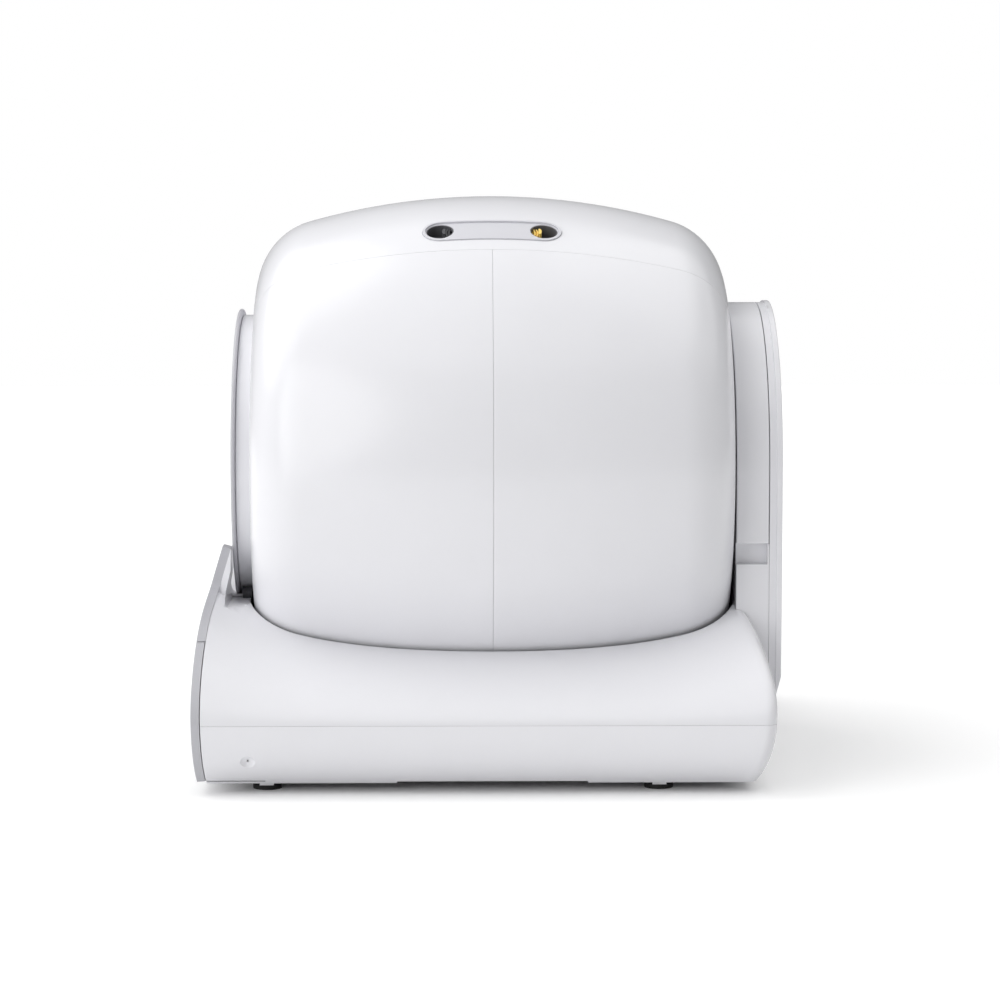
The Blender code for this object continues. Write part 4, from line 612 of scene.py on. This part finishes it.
# Drum shells
def drum_pieces():
    """The two halves of the drum, each turned round but for the sector that the cover fills."""
    sector = (COVER_START, COVER_END, COVER_INNER_RADIUS - SEAM_GAP)
    for name, direction, end_radius in (("front", -1, ENTRANCE_RADIUS), ("rear", 1, DISH_RADIUS)):
        side = drum_side(0, FINE_GAP / 2, end_radius, direction)
        at = next(k for k, (_, radius) in enumerate(side) if radius < sector[2])
        y, radius = side[at - 1]
        share = (radius - sector[2]) / (radius - side[at][1])
        side.insert(at, (y + (side[at][0] - y) * share, sector[2] + MERGE_DISTANCE / 2))
        if name == "rear":
            floor = DRUM_HALF_LENGTH - DISH_DEPTH
            side += [(floor, DISH_RADIUS), (floor, HUB_HOLE_RADIUS * 3), (floor, HUB_HOLE_RADIUS)]
        shell = turned(
            "drum_%s_skin" % name, side, WHITE_SHELL, COVER_START, COVER_START + 360, opening=sector,
        )
        faced_outward(shell, (0, 0, AXIS_HEIGHT))
        thicken(shell, SHELL_WALL)
        if name == "rear":
            plain_mesh(shell)
            sides = [band_outline(inset, PORT_FRONT, PORT_REAR, 12) for inset in (-CUT_REACH, CUT_REACH)]
            work(shell, turned_slab("port_cut", *sides, PORT_START, PORT_END), "DIFFERENCE")
        ease(shell, FINE_GAP)
        dress(settled(shell, WHITE_SHELL), "drum", ["drum_%s_shell" % name])


def cover_piece():
    clear = degrees(FINE_GAP / DRUM_RADIUS)
    side = whole_side(0, COVER_INNER_RADIUS)
    cover = turned("top_cover_skin", side, WHITE_SHELL, COVER_START + clear, COVER_END - clear, COVER_STEP)
    faced_outward(cover, (0, 0, AXIS_HEIGHT))
    thicken(cover, SHELL_WALL)
    plain_mesh(cover)
    outline = pill(GRIP_LENGTH + 2 * SEAT_GAP, GRIP_WIDTH + 2 * SEAT_GAP)
    low, high = DRUM_RADIUS - CUT_REACH, DRUM_RADIUS + CUT_REACH
    for name, angle in (("near", GRIP_ANGLE), ("far", 180 - GRIP_ANGLE)):
        work(cover, radial_prism("grip_hole_" + name, angle, outline, low, high), "DIFFERENCE")
    ease(cover, FINE_GAP)
    dress(settled(cover, WHITE_SHELL), "top_cover", ["top_cover"])


def oblong(half_length, half_width):
    return [
        (-half_length, -half_width), (half_length, -half_width), (half_length, half_width),
        (-half_length, half_width),
    ]


def grip_piece(name, angle):
    """A pill shaped bar with a raised rim, a shallow field and two round finger wells."""
    half_turn = 9.0
    half = GRIP_LENGTH / 2 + 0.004
    below, above = DRUM_RADIUS - 2 * CUT_REACH, DRUM_RADIUS + 2 * CUT_REACH

    def patch(label, top, bottom):
        """A curved slab round the grip between two depths under the skin of the drum."""
        outer, inner = (band_outline(inset, -half, half) for inset in (top, bottom))
        return turned_slab(label, outer, inner, angle - half_turn, angle + half_turn, GRIP_STEP)

    def well(label, radius, end, drop):
        outline = ring_points(radius, (end * WELL_SPACING / 2, 0), 48)
        return radial_prism(label, angle, outline, WELL_FLOOR - drop, above)

    def slide_way():
        outline = oblong(WELL_SPACING / 2, SLIDE_HALF_WIDTH)
        return radial_prism("slide_way", angle, outline, WELL_FLOOR - 0.0003, WELL_FLOOR + SLIDE_HEIGHT)

    bar = patch("grip_bar_" + name, -GRIP_RISE, GRIP_DEPTH)
    work(bar, radial_prism("bar_outline", angle, pill(GRIP_LENGTH, GRIP_WIDTH), below, above), "INTERSECT")
    field = patch("field", -CUT_REACH / 2, FIELD_DEPTH)
    inner = pill(GRIP_LENGTH - 2 * GRIP_RIM, GRIP_WIDTH - 2 * GRIP_RIM)
    work(field, radial_prism("field_outline", angle, inner, below, above), "INTERSECT")
    work(bar, field, "DIFFERENCE")
    for end, where in ((-1, "front"), (1, "rear")):
        work(bar, well("well", WELL_RADIUS, end, 0.0006), "DIFFERENCE")
        cup = patch("well_cup_%s_%s" % (name, where), CUP_INSET, CUP_DEPTH)
        work(cup, well("cup_outside", CUP_OUTER_RADIUS, end, 0.0005), "INTERSECT")
        cut_by(cup, well("cup_inside", CUP_INNER_RADIUS, end, 0.0001), slide_way())
        cup = settled(cup, WELL_GREY)
        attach(cup, "top_cover")
    work(bar, slide_way(), "DIFFERENCE")
    web = oblong(WEB_HALF_LENGTH, WEB_HALF_WIDTH)
    work(bar, radial_prism("web", angle, web, WELL_FLOOR - WEB_DROP, WELL_FLOOR + WEB_HEIGHT), "UNION")
    ease(bar, 0.0006, 2, 40)
    dress(settled(bar, LIGHT_GREY), "top_cover", ["grip_insert_" + name])


def latch_piece(name, angle, end):
    """A finger tab that fills the inner half of its well, with curved ridges to pull on."""
    where = "front" if end < 0 else "rear"
    turns = [pi * (k / 12 - 0.5) for k in range(13)]

    def block(label, outline, low, high):
        outline = [(end * y, across) for y, across in outline]
        return radial_prism(label, angle, outline, WELL_FLOOR + low, WELL_FLOOR + high)

    def nose(bow, half_width, inner):
        """An outline that ends in a bow at the outer end of the tab."""
        front = [(TAB_OUTER - bow * (1 - cos(turn)), half_width * sin(turn)) for turn in turns]
        return [(inner, -half_width)] + front + [(inner, half_width)]

    latch = block("latch_%s_%s_tab" % (name, where), nose(TAB_NOSE, TAB_HALF_WIDTH, TAB_INNER), 0, TAB_HEIGHT)
    hook = nose(HOOK_BOW, HOOK_HALF_WIDTH, HOOK_INNER)
    work(latch, block("hook", hook, RIDGE_ROOT, HOOK_HEIGHT), "UNION")
    for k in range(RIDGES):
        y = TAB_INNER + RIDGE_START + RIDGE_PITCH * k
        bow = [
            (y + RIDGE_BOW * sin(pi * step / 10), TAB_HALF_WIDTH * RIDGE_SHARE * (step / 5 - 1))
            for step in range(11)
        ]
        ridge = bow + [(along + RIDGE_WIDTH, across) for along, across in bow[::-1]]
        work(latch, block("ridge", ridge, RIDGE_ROOT, RIDGE_HEIGHT), "UNION")
    ease(latch, 0.0003, 2, 40)
    finish, slot = (DARK_PLASTIC, "dark_plastic") if end < 0 else (YELLOW_PLASTIC, "yellow_plastic")
    node = "latch_%s_%s" % (name, where)
    dress(settled(latch, finish), node, [node])


# Entrance
def arc(centre, radius, first, last, steps=8):
    """Points of an arc in (along, radius) coordinates, by angles in degrees."""
    turns = [radians(first + (last - first) * k / steps) for k in range(steps + 1)]
    return [(centre[0] + radius * cos(t), centre[1] + radius * sin(t)) for t in turns]


def entrance_pieces():
    """A white collar and a grey ring whose lip is rolled."""
    front, rear = -RING_BACK + SEAT_GAP, -DRUM_HALF_LENGTH - SEAT_GAP
    spigot, spigot_end = ENTRANCE_RADIUS - SEAT_GAP, rear + SPIGOT_LENGTH
    small, large = 0.0004, 0.0008
    collar = [(rear, spigot), (rear, COLLAR_RADIUS - small), (rear - small, COLLAR_RADIUS)]
    collar += [(front + large, COLLAR_RADIUS), (front, COLLAR_RADIUS - large), (front, COLLAR_BORE)]
    collar += [(spigot_end, COLLAR_BORE), (spigot_end, spigot), (rear, spigot)]
    made = outward(turned("entrance_collar_skin", collar, WHITE_SHELL))
    dress(settled(made, WHITE_SHELL), "drum", ["entrance_collar"])
    lip, back = -RING_FRONT, -RING_BACK
    rounding = (lip - back) / 2
    edge = RING_RADIUS + rounding
    ring = [(back, RING_SLEEVE_RADIUS), (back, edge)]
    ring += arc(((lip + back) / 2, edge), -rounding, 0, 180, 10)[1:-1]
    ring += [(lip, edge), (lip, RING_BORE + RING_LIP_RADIUS)]
    ring += arc((lip + RING_LIP_RADIUS, RING_BORE + RING_LIP_RADIUS), RING_LIP_RADIUS, 180, 270, 6)[1:]
    ring += [(lip + RING_SLEEVE_LENGTH, radius) for radius in (RING_BORE, RING_SLEEVE_RADIUS)]
    ring.append((back, RING_SLEEVE_RADIUS))
    made = outward(turned("entrance_ring_lip", ring, GREY_TRIM))
    dress(settled(made, GREY_TRIM, 50), "drum", ["entrance_ring"])


# Base
def smooth_larger(first, second, softness):
    """The larger of two values, with a soft change from one to the other."""
    return (first + second + sqrt((first - second) ** 2 + softness ** 2)) / 2


def base_front(z):
    """The place of the front face: bowed low down, leaning back towards the horns."""
    bow = (z - FRONT_BELLY) ** 2 / 2.0 - FRONT_REACH
    lean = -FRONT_TOP - FRONT_LEAN * (HORN_HEIGHT - z)
    return smooth_larger(bow, lean, 0.004)


def base_rear(z):
    return REAR_REACH - REAR_RADIUS + sqrt(REAR_RADIUS ** 2 - (z - REAR_BELLY) ** 2)


def shoulder(y):
    """The height of the shoulders above the parting line."""
    return 0.084 + 0.017 * (abs(y) / 0.210) ** 4


def side_tuck(z):
    return BASE_HALF_WIDTH - BOTTOM_TUCK * (max(PARTING_HEIGHT - z, 0) / (PARTING_HEIGHT - BASE_BOTTOM)) ** 3


def horn_side(z):
    return HORN_SIDE + HORN_FLARE * (HORN_HEIGHT - z)


def front_edge(z):
    """Half the width of the front face at a height."""
    if z <= PARTING_HEIGHT:
        return side_tuck(z)
    share = min((z - PARTING_HEIGHT) / shoulder(FRONT_REACH - TRIM_OFFSET), 1)
    curve = BASE_HALF_WIDTH * (1 - share ** SHOULDER_POWER) ** (1 / SHOULDER_POWER)
    return smooth_larger(curve, horn_side(z), 0.010)


def swept_body(name, section, front_offset, inset, spans=56, corner_steps=8):
    """A body whose section runs from the bowed front to a rounded rear edge."""
    stations = [(k / spans, CORNER_RUN * k / spans, 0.0) for k in range(spans)]
    for k in range(corner_steps + 1):
        turn = pi / 2 * k / corner_steps
        stations.append((1.0, CORNER_RUN * (1 - sin(turn)), CORNER_RUN * (1 - cos(turn))))
    points = []
    size = len(section(0, inset))
    for share, back, shrink in stations:
        for j in range(size):
            y = 0.0
            for _ in range(5):
                x, z = section(y, inset + shrink)[j]
                front, rear = base_front(z) + front_offset, base_rear(z) - inset
                y = front + (rear - front) * share - back
            points.append((x, y, z))
    faces = side_faces(len(stations), size) + end_strips(len(stations), size)
    return outward(draft(name, points, faces))


def mirrored(right):
    """Points on the right side, then the same points on the left in the opposite order."""
    return right + [(-x, z) for x, z in right[::-1]]


def shoulder_section(y, inset, half=30):
    power = 2 / SHOULDER_POWER
    width, height = BASE_HALF_WIDTH - inset, shoulder(y) - inset
    right = []
    for k in range(half):
        turn = pi / 2 * k / (half - 0.5)
        right.append((width * cos(turn) ** power, PARTING_HEIGHT + height * sin(turn) ** power))
    return mirrored(right)


def shoulder_hollow_section(y, inset):
    points = shoulder_section(y, inset)
    low = PARTING_HEIGHT - CUT_REACH
    return [(points[0][0], low)] + points + [(points[-1][0], low)]


def tray_side(inset, floor, steps=14):
    top = PARTING_HEIGHT - FINE_GAP
    heights = [top + (floor - top) * k / steps for k in range(steps + 1)]
    return [(side_tuck(z) - inset, z) for z in heights]


def tray_section(_, inset):
    return mirrored(tray_side(inset, BASE_BOTTOM))


def tray_hollow_section(_, inset):
    top = (BASE_HALF_WIDTH - inset, PARTING_HEIGHT + CUT_REACH)
    return mirrored([top] + tray_side(inset, BASE_BOTTOM + SHELL_WALL))


def box_of(name, low, high):
    corners = [(low[0], low[2]), (high[0], low[2]), (high[0], high[2]), (low[0], high[2])]
    return prism(name, corners, low[1], high[1])


def horns():
    """The two horns beside the collar, before the arch between them is cut."""
    heights = [HORN_ROOT + (HORN_HEIGHT - HORN_ROOT) * k / 30 for k in range(31)]
    outline = [(base_front(z) + TRIM_OFFSET, z) for z in heights]
    rear = -DRUM_HALF_LENGTH - 0.004
    outline += [(rear, HORN_HEIGHT), (rear, HORN_ROOT)]
    block = prism("horns", outline, -BASE_HALF_WIDTH, BASE_HALF_WIDTH, "x")
    face = mirrored([(horn_side(z), z) for z in (0.120, 0.249)])
    return work(block, prism("horn_face", face, -FAR, 0), "INTERSECT")


def notch():
    """The step behind the horns, seen from the side."""
    rear = -RING_FRONT - 0.0012
    steps = [(0, 0.235), (0, 0.192), (0.0045, 0.172), (0.0045, 0.166), (0.0038, 0.1628), (0.0015, 0.160)]
    outline = [(rear - reach, z) for reach, z in steps] + [(-CORNER_Y, 0.160), (-CORNER_Y, 0.235)]
    return prism("notch", outline, -FAR, FAR, "x")


def dimple(side):
    """A shallow bowl in each side of the tray."""
    y, z = DIMPLE_PLACE
    centre = side_tuck(z) - DIMPLE_DEPTH + DIMPLE_RADIUS
    return outward(draft("dimple", *ball_faces(DIMPLE_RADIUS, (side * centre, y, z))))


def ball_faces(radius, centre, rings=16, around=32):
    points, faces = [], []
    for i in range(1, rings):
        turn = pi * i / rings
        for j in range(around):
            way = 2 * pi * j / around
            points.append((
                centre[0] + radius * cos(turn), centre[1] + radius * sin(turn) * cos(way),
                centre[2] + radius * sin(turn) * sin(way),
            ))
    size = len(points)
    points += [(centre[0] + radius, centre[1], centre[2]), (centre[0] - radius, centre[1], centre[2])]
    for j in range(around):
        k = (j + 1) % around
        faces.append((size, j, k))
        for i in range(rings - 2):
            faces.append((i * around + j, (i + 1) * around + j, (i + 1) * around + k, i * around + k))
        last = (rings - 2) * around
        faces.append((last + k, last + j, size + 1))
    return points, faces


def entrance_arch(name):
    return prism(name, ring_points(ARCH_RADIUS, (0, AXIS_HEIGHT), 144), -FAR, -RING_FRONT)


def drawer_opening(name, top):
    low = (-DRAWER_HALF_WIDTH, -FAR, DRAWER_FLOOR)
    return box_of(name, low, (DRAWER_HALF_WIDTH, -0.212, top))


def button_place(side):
    return (side * BUTTON_SPREAD, BUTTON_HEIGHT)


def base_pieces():
    """The shell with its hollows for the drum, the drawer and the tower, and the tray under it."""
    shell = swept_body("base_shell_skin", shoulder_section, TRIM_OFFSET, 0)
    work(shell, horns(), "UNION")
    hollow = swept_body("base_hollow", shoulder_hollow_section, TRIM_OFFSET + 0.034, BASE_WALL, 28, 4)
    nose_half, nose_top = 0.205, 0.128
    nose_front = base_front(nose_top) + TRIM_OFFSET + 0.016
    nose = box_of(
        "nose_hollow", (-nose_half, nose_front, PARTING_HEIGHT - 0.001), (nose_half, -0.212, nose_top),
    )
    play, core, axis_gap = 0.003, 0.02, 0.001
    ends = DRUM_HALF_LENGTH + 0.004
    drum_room = whole_side(-0.004, core)
    clearance = turned_slab("drum_clearance", drum_room, [(-ends, axis_gap), (ends, axis_gap)], 0, 360)
    flange, collar = RING_RADIUS + play, COLLAR_RADIUS + play
    front, middle = -RING_FRONT - play, -RING_BACK + play
    ring = turned_slab(
        "ring_clearance", [(front, flange), (middle, flange), (middle, collar), (-CORNER_Y, collar)],
        [(front, core), (-CORNER_Y, core)], 0, 360,
    )
    socket_half = TOWER_HALF_WIDTH + ARCH_GAP
    socket = box_of(
        "tower_socket", (-socket_half, TOWER_FRONT - ARCH_GAP, TOWER_FOOT - ARCH_GAP),
        (socket_half, PLATE_BACK, AXIS_HEIGHT),
    )
    opening = drawer_opening("drawer_opening", 0.0924)
    cut_by(shell, notch(), hollow, nose, clearance, ring, entrance_arch("bib_arch"), opening, socket)
    pocket_floor = base_front(BUTTON_HEIGHT) + TRIM_OFFSET
    for side in (-1, 1):
        x, z = ROLLER_CENTRE
        button = ring_points(BUTTON_HOLE_RADIUS, button_place(side), 48)
        cut_by(
            shell, prism("roller_pocket", ring_points(0.0105, (side * x, z), 48), -0.2458, -CORNER_Y),
            prism("axle_hole", ring_points(0.0023, (side * x, z), 24), -0.2606, -0.2398),
            prism("button_pocket", button, -FRONT_REACH, pocket_floor),
        )
    ease(shell, 0.0004)
    dress(settled(shell, WHITE_SHELL), "base", ["base_shell"])

    tray = swept_body("base_tray_skin", tray_section, TRIM_OFFSET, 0)
    pocket = swept_body("tray_pocket", tray_hollow_section, TRIM_OFFSET - CUT_REACH, BASE_WALL, 28, 4)
    cut_by(tray, pocket, drawer_opening("tray_opening", 0.088))
    for side in (-1, 1):
        inner, outer = sorted((side * FAR, side * 0.240))
        cut_by(tray, box_of("hand_recess", (inner, -0.090, 0), (outer, 0.0875, 0.0115)), dimple(side))
    ease(tray, 0.0003)
    dress(settled(tray, WHITE_SHELL), "base", ["base_tray"])


# Grey front: a fixed upper panel and the drawer front below it
def trim_sheet(name, low, high, rows, columns=96):
    """The bowed front face between two heights, a grid that runs out to the edge of the body."""
    points, faces = [], []
    for i in range(rows + 1):
        z = low + (high - low) * i / rows
        for j in range(columns + 1):
            points.append(((2 * j / columns - 1) * front_edge(z), base_front(z), z))
    for i in range(rows):
        for j in range(columns):
            a = i * (columns + 1) + j
            faces.append((a, a + 1, a + columns + 2, a + columns + 1))
    return faced_outward(draft(name, points, faces), (0, 0, (low + high) / 2))


def split_line(gap, end):
    """The line between the fixed panel and the drawer front, closed at a height far above or below."""
    low = SPLIT_HEIGHT - TONGUE_DROP
    right = [(FAR, SPLIT_HEIGHT + gap), (TONGUE_TOP, SPLIT_HEIGHT + gap), (TONGUE_FOOT, low + gap)]
    return mirrored(right) + [(-FAR, end), (FAR, end)]


def front_pieces():
    """The fixed panel with its display and buttons, and the drawer front under it."""
    panel = trim_sheet("front_panel_trim", SPLIT_HEIGHT - TONGUE_DROP, HORN_HEIGHT, 60)
    plain_mesh(thicken(panel, TRIM_OFFSET - SEAT_GAP))
    outward(panel)
    below = split_line(SEAT_GAP, 0.0)
    front, core = -RING_FRONT - 0.0012, 0.02
    ring = turned_slab(
        "ring_room", [(front, DRUM_RADIUS), (0.0, DRUM_RADIUS)], [(front, core), (0.0, core)], 0, 360,
    )
    face = base_front(BUTTON_HEIGHT)
    half_width, low, high = 0.035, 0.1265, 0.1425
    recess = box_of(
        "display_recess", (-half_width - SEAT_GAP, -FAR, low - SEAT_GAP),
        (half_width + SEAT_GAP, face + 0.0031, high + SEAT_GAP),
    )
    cut_by(panel, prism("split", below, -FAR, 0), entrance_arch("arch"), ring, recess)
    for side in (-1, 1):
        cut_by(panel, prism("button_hole", ring_points(BUTTON_HOLE_RADIUS, button_place(side), 48), -FAR, 0))
    ease(panel, 0.0009, 3)
    dress(settled(panel, GREY_TRIM), "base", ["front_panel"])

    foot = BASE_BOTTOM + 0.002
    drawer = plain_mesh(thicken(trim_sheet("drawer_front_trim", foot, SPLIT_HEIGHT, 60), TRIM_THICKNESS))
    outward(drawer)
    above = split_line(-SEAT_GAP, 0.25)
    slot = box_of("finger_slot", (-0.06, -FAR, 0), (0.06, 0, foot + 0.014))
    cut_by(drawer, prism("split", above, -FAR, 0), slot)
    ease(drawer, 0.0009, 3)
    dress(settled(drawer, GREY_TRIM), "drawer", ["drawer_front"])

    glass = box_of("display_glass", (-half_width, face + SEAT_GAP, low), (half_width, face + 0.0028, high))
    ease(glass, 0.0004, 3)
    dress(settled(glass, TINTED_WINDOW), "base", ["display_window"])
    for side, node in ((-1, "power_button"), (1, "menu_button")):
        outline = ring_points(BUTTON_RADIUS, button_place(side), 64)
        button = prism(node + "_cap", outline, face, face + 0.007)
        ease(button, 0.0006, 3)
        dress(settled(button, LIGHT_GREY), node, [node])


# Rear tower
def arch_outline(radius, foot, steps=90):
    points = [(radius, foot)]
    turns = [pi * k / steps for k in range(steps + 1)]
    points += [(radius * cos(turn), AXIS_HEIGHT + radius * sin(turn)) for turn in turns]
    return points + [(-radius, foot)]


def tower_pieces():
    """The tower's shell, the lift-off arch cover and the back plate."""
    under, top = ARCH_INNER_RADIUS - ARCH_GAP, ARCH_FOOT - ARCH_GAP
    outline = [(TOWER_HALF_WIDTH, TOWER_FOOT), (TOWER_HALF_WIDTH, top), (under, top)]
    outline += arch_outline(under, top)[1:-1] + [(-x, z) for x, z in outline[::-1]]
    shell = prism("tower_shell_skin", outline, TOWER_FRONT, TOWER_BACK)
    inner, narrow = under - TOWER_WALL, TOWER_HALF_WIDTH - RECESS_DEPTH - RECESS_WALL
    low, high = RECESS_FOOT - RECESS_WALL, ARCH_FOOT + RECESS_WALL
    pocket = [(inner, 0.062), (inner, low), (narrow, low), (narrow, high), (inner, high)]
    pocket += arch_outline(inner, high)[1:-1] + [(-x, z) for x, z in pocket[::-1]]
    cut_by(shell, prism("tower_pocket", pocket, TOWER_FRONT + TOWER_WALL, FAR))
    for side in (-1, 1):
        left, right = sorted((side * (TOWER_HALF_WIDTH - RECESS_DEPTH), side * FAR))
        cut_by(shell, box_of("finger_recess", (left, 0.23, RECESS_FOOT), (right, 0.2650, ARCH_FOOT)))
    cut_by(
        shell, prism("axle_passage", ring_points(0.0103, (0, AXIS_HEIGHT), 48), 0, FAR),
        prism("shaft_passage", ring_points(0.0058, (0, 0.1872), 48), 0, FAR),
    )
    ease(shell, 0.0008)
    dress(settled(shell, WHITE_SHELL), "base", ["tower_shell"])

    outer, inner = arch_outline(TOWER_HALF_WIDTH, ARCH_FOOT), arch_outline(ARCH_INNER_RADIUS, ARCH_FOOT)
    loop = outer + inner[::-1]
    points = [(x, y, z) for y in (TOWER_FRONT, ARCH_BACK) for x, z in loop]
    cover = outward(draft("arch_cover_skin", points, side_faces(2, len(loop)) + end_strips(2, len(loop))))
    ease(cover, 0.0012, 3)
    dress(settled(cover, WHITE_SHELL), "arch_cover", ["arch_cover"])

    def plate_foot(y):
        return PLATE_FOOT + (PLATE_BACK_FOOT - PLATE_FOOT) / (PLATE_BACK - PLATE_STEP) * (y - PLATE_STEP)

    sections = [(y, TOWER_HALF_WIDTH, PLATE_FOOT) for y in (PLATE_FRONT, PLATE_STEP)]
    sections.append((PLATE_STEP + 0.0003, PLATE_RADIUS, plate_foot(PLATE_STEP + 0.0003)))
    for k in range(5):
        turn = pi / 2 * k / 4
        y = PLATE_EDGE + PLATE_ROUNDING * sin(turn)
        sections.append((y, PLATE_RADIUS - PLATE_ROUNDING * (1 - cos(turn)), plate_foot(y)))
    rings = [[(x, y, z) for x, z in arch_outline(radius, foot)] for y, radius, foot in sections]
    points = [point for ring in rings for point in ring]
    plate = outward(draft("back_plate_skin", points, prism_faces(len(rings[0]), len(rings))))
    hole_left, hole_right, hole_low, hole_high = -0.0673, -0.0527, 0.1227, 0.1373
    cut_by(
        plate, prism("plate_pocket", arch_outline(under - 0.0002, POCKET_FOOT), 0, POCKET_FLOOR),
        box_of("inlet_hole", (hole_left, 0, hole_low), (hole_right, FAR, hole_high)),
    )
    orbit = TOWER_HALF_WIDTH - SCREW_INSET
    turn = radians(SCREW_ANGLE)
    places = [(orbit * cos(turn), AXIS_HEIGHT + orbit * sin(turn)), (orbit, (POCKET_FOOT + AXIS_HEIGHT) / 2)]
    for x, z in places:
        for side in (-1, 1):
            outline = ring_points(SCREW_WELL_RADIUS, (side * x, z), 32)
            cut_by(plate, prism("screw_well", outline, SCREW_WELL_FLOOR, FAR))
    split_faces(plate)
    ease(plate, 0.0005)
    dress(settled(plate, WHITE_SHELL), "base", ["back_plate"])


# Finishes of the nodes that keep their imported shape
FINISHES = {
    "white_shell": WHITE_SHELL, "grey_trim": GREY_TRIM, "light_grey": LIGHT_GREY,
    "dark_plastic": DARK_PLASTIC, "yellow_plastic": YELLOW_PLASTIC, "black_rubber": BLACK_RUBBER,
    "grey_rubber": GREY_RUBBER, "dark_glass": TINTED_WINDOW, "steel": STEEL, "bronze": BRONZE,
    "board": BOARD_GREEN,
}


def finish_nodes():
    for part in frame["record"]["subparts"]:
        node = frame["nodes"][part["node"]]
        node.data.materials.clear()
        node.data.materials.append(FINISHES[part["material_slot"]])


# Room, light and camera
FLOOR_HALF_SIZE = 6
FLOOR_GLOW = 0.21
# Over this rectangle under the base the floor's glow is left out and fades back in over the edge: a painted
# contact shadow.
PAINTED_SHADOW_HALF_WIDTH = 0.245
PAINTED_SHADOW_HALF_LENGTH = 0.215
PAINTED_SHADOW_EDGE = 0.05
WORLD_LIGHT = 0.17


def floor_material():
    """A pale floor that takes shadows and glows a little; the glow is left out under the base, which paints a
    darker contact shadow there.
    """
    made = bpy.data.materials.new("pale floor")
    made.use_nodes = True
    nodes, links = made.node_tree.nodes, made.node_tree.links
    maths = node_maths(made.node_tree)
    shader = nodes["Principled BSDF"]
    shader.inputs["Base Color"].default_value = (0.86, 0.86, 0.86, 1)
    shader.inputs["Roughness"].default_value = 0.7
    shader.inputs["Specular IOR Level"].default_value = 0.1
    rays = nodes.new("ShaderNodeLightPath").outputs
    seen = maths("MAXIMUM", rays["Is Camera Ray"], rays["Is Glossy Ray"])
    spot = nodes.new("ShaderNodeSeparateXYZ")
    links.new(nodes.new("ShaderNodeTexCoord").outputs["Object"], spot.inputs[0])
    beyond = [
        maths("SUBTRACT", maths("ABSOLUTE", spot.outputs[axis]), half)
        for axis, half in (("X", PAINTED_SHADOW_HALF_WIDTH), ("Y", PAINTED_SHADOW_HALF_LENGTH))
    ]
    # Glow is zero inside the rectangle under the base and full past its edge, which paints a dark contact
    # shadow under the base.
    clear = nodes.new("ShaderNodeMapRange")
    clear.inputs["From Max"].default_value = PAINTED_SHADOW_EDGE
    links.new(maths("MAXIMUM", *beyond), clear.inputs["Value"])
    glow = nodes.new("ShaderNodeEmission")
    strength = maths("MULTIPLY", maths("MULTIPLY", seen, FLOOR_GLOW), clear.outputs["Result"])
    links.new(strength, glow.inputs["Strength"])
    both = nodes.new("ShaderNodeAddShader")
    links.new(shader.outputs[0], both.inputs[0])
    links.new(glow.outputs[0], both.inputs[1])
    links.new(both.outputs[0], nodes["Material Output"].inputs["Surface"])
    return made


def room():
    half = FLOOR_HALF_SIZE
    corners = [(-half, -half, 0), (half, -half, 0), (half, half, 0), (-half, half, 0)]
    floor = draft("floor", corners, [(0, 1, 2, 3)])
    floor.data.materials.append(floor_material())
    world = bpy.data.worlds.new("pale studio")
    bpy.context.scene.world = world
    world.use_nodes = True
    nodes, links = world.node_tree.nodes, world.node_tree.links
    back = nodes["Background"]
    back.inputs["Color"].default_value = (1, 1, 1, 1)
    rays = nodes.new("ShaderNodeLightPath").outputs
    seen = node_maths(world.node_tree)("MAXIMUM", rays["Is Camera Ray"], rays["Is Transmission Ray"])
    level = nodes.new("ShaderNodeMapRange")
    level.inputs["To Min"].default_value = WORLD_LIGHT
    level.inputs["To Max"].default_value = 1.0
    links.new(seen, level.inputs["Value"])
    links.new(level.outputs["Result"], back.inputs["Strength"])


def lamp(name, azimuth, elevation, spread, power):
    """A far, soft lamp. The azimuth runs from the camera's side towards the front."""
    light = bpy.data.lights.new(name, "SUN")
    light.angle = radians(spread)
    light.energy = power
    made = bpy.data.objects.new(name, light)
    bpy.context.scene.collection.objects.link(made)
    turn, rise = radians(azimuth), radians(elevation)
    towards = Vector((cos(turn) * cos(rise), -sin(turn) * cos(rise), sin(rise)))
    made.rotation_mode = "QUATERNION"
    made.rotation_quaternion = towards.to_track_quat("Z", "Y")


def camera():
    """Stands beside the object, a little ahead of its middle and a little above it."""
    azimuth, elevation, distance = radians(89.2), radians(5.5), 3.2
    target = Vector((0.0, 0.0095, 0.2465))
    back = Vector((sin(azimuth) * cos(elevation), -cos(azimuth) * cos(elevation), sin(elevation)))
    lens = bpy.data.cameras.new("side camera")
    lens.sensor_width = 36.0
    lens.lens = 114.05
    made = bpy.data.objects.new("side camera", lens)
    bpy.context.scene.collection.objects.link(made)
    made.location = target + back * distance
    made.rotation_mode = "QUATERNION"
    made.rotation_quaternion = (-back).to_track_quat("-Z", "Y")
    bpy.context.scene.camera = made


camera()
finish_nodes()
drum_pieces()
cover_piece()
for side, angle in (("near", GRIP_ANGLE), ("far", 180 - GRIP_ANGLE)):
    grip_piece(side, angle)
    for end in (-1, 1):
        latch_piece(side, angle, end)
entrance_pieces()
base_pieces()
front_pieces()
tower_pieces()
room()
lamp("front lamp", 110, 45, 60, 1.39)
lamp("side lamp", 46, 19, 50, 1.32)
lamp("rear lamp", -110, 50, 60, 0.62)
lamp("top lamp", 0, 88, 90, 1.12)
bpy.context.scene.view_settings.view_transform = "Standard"
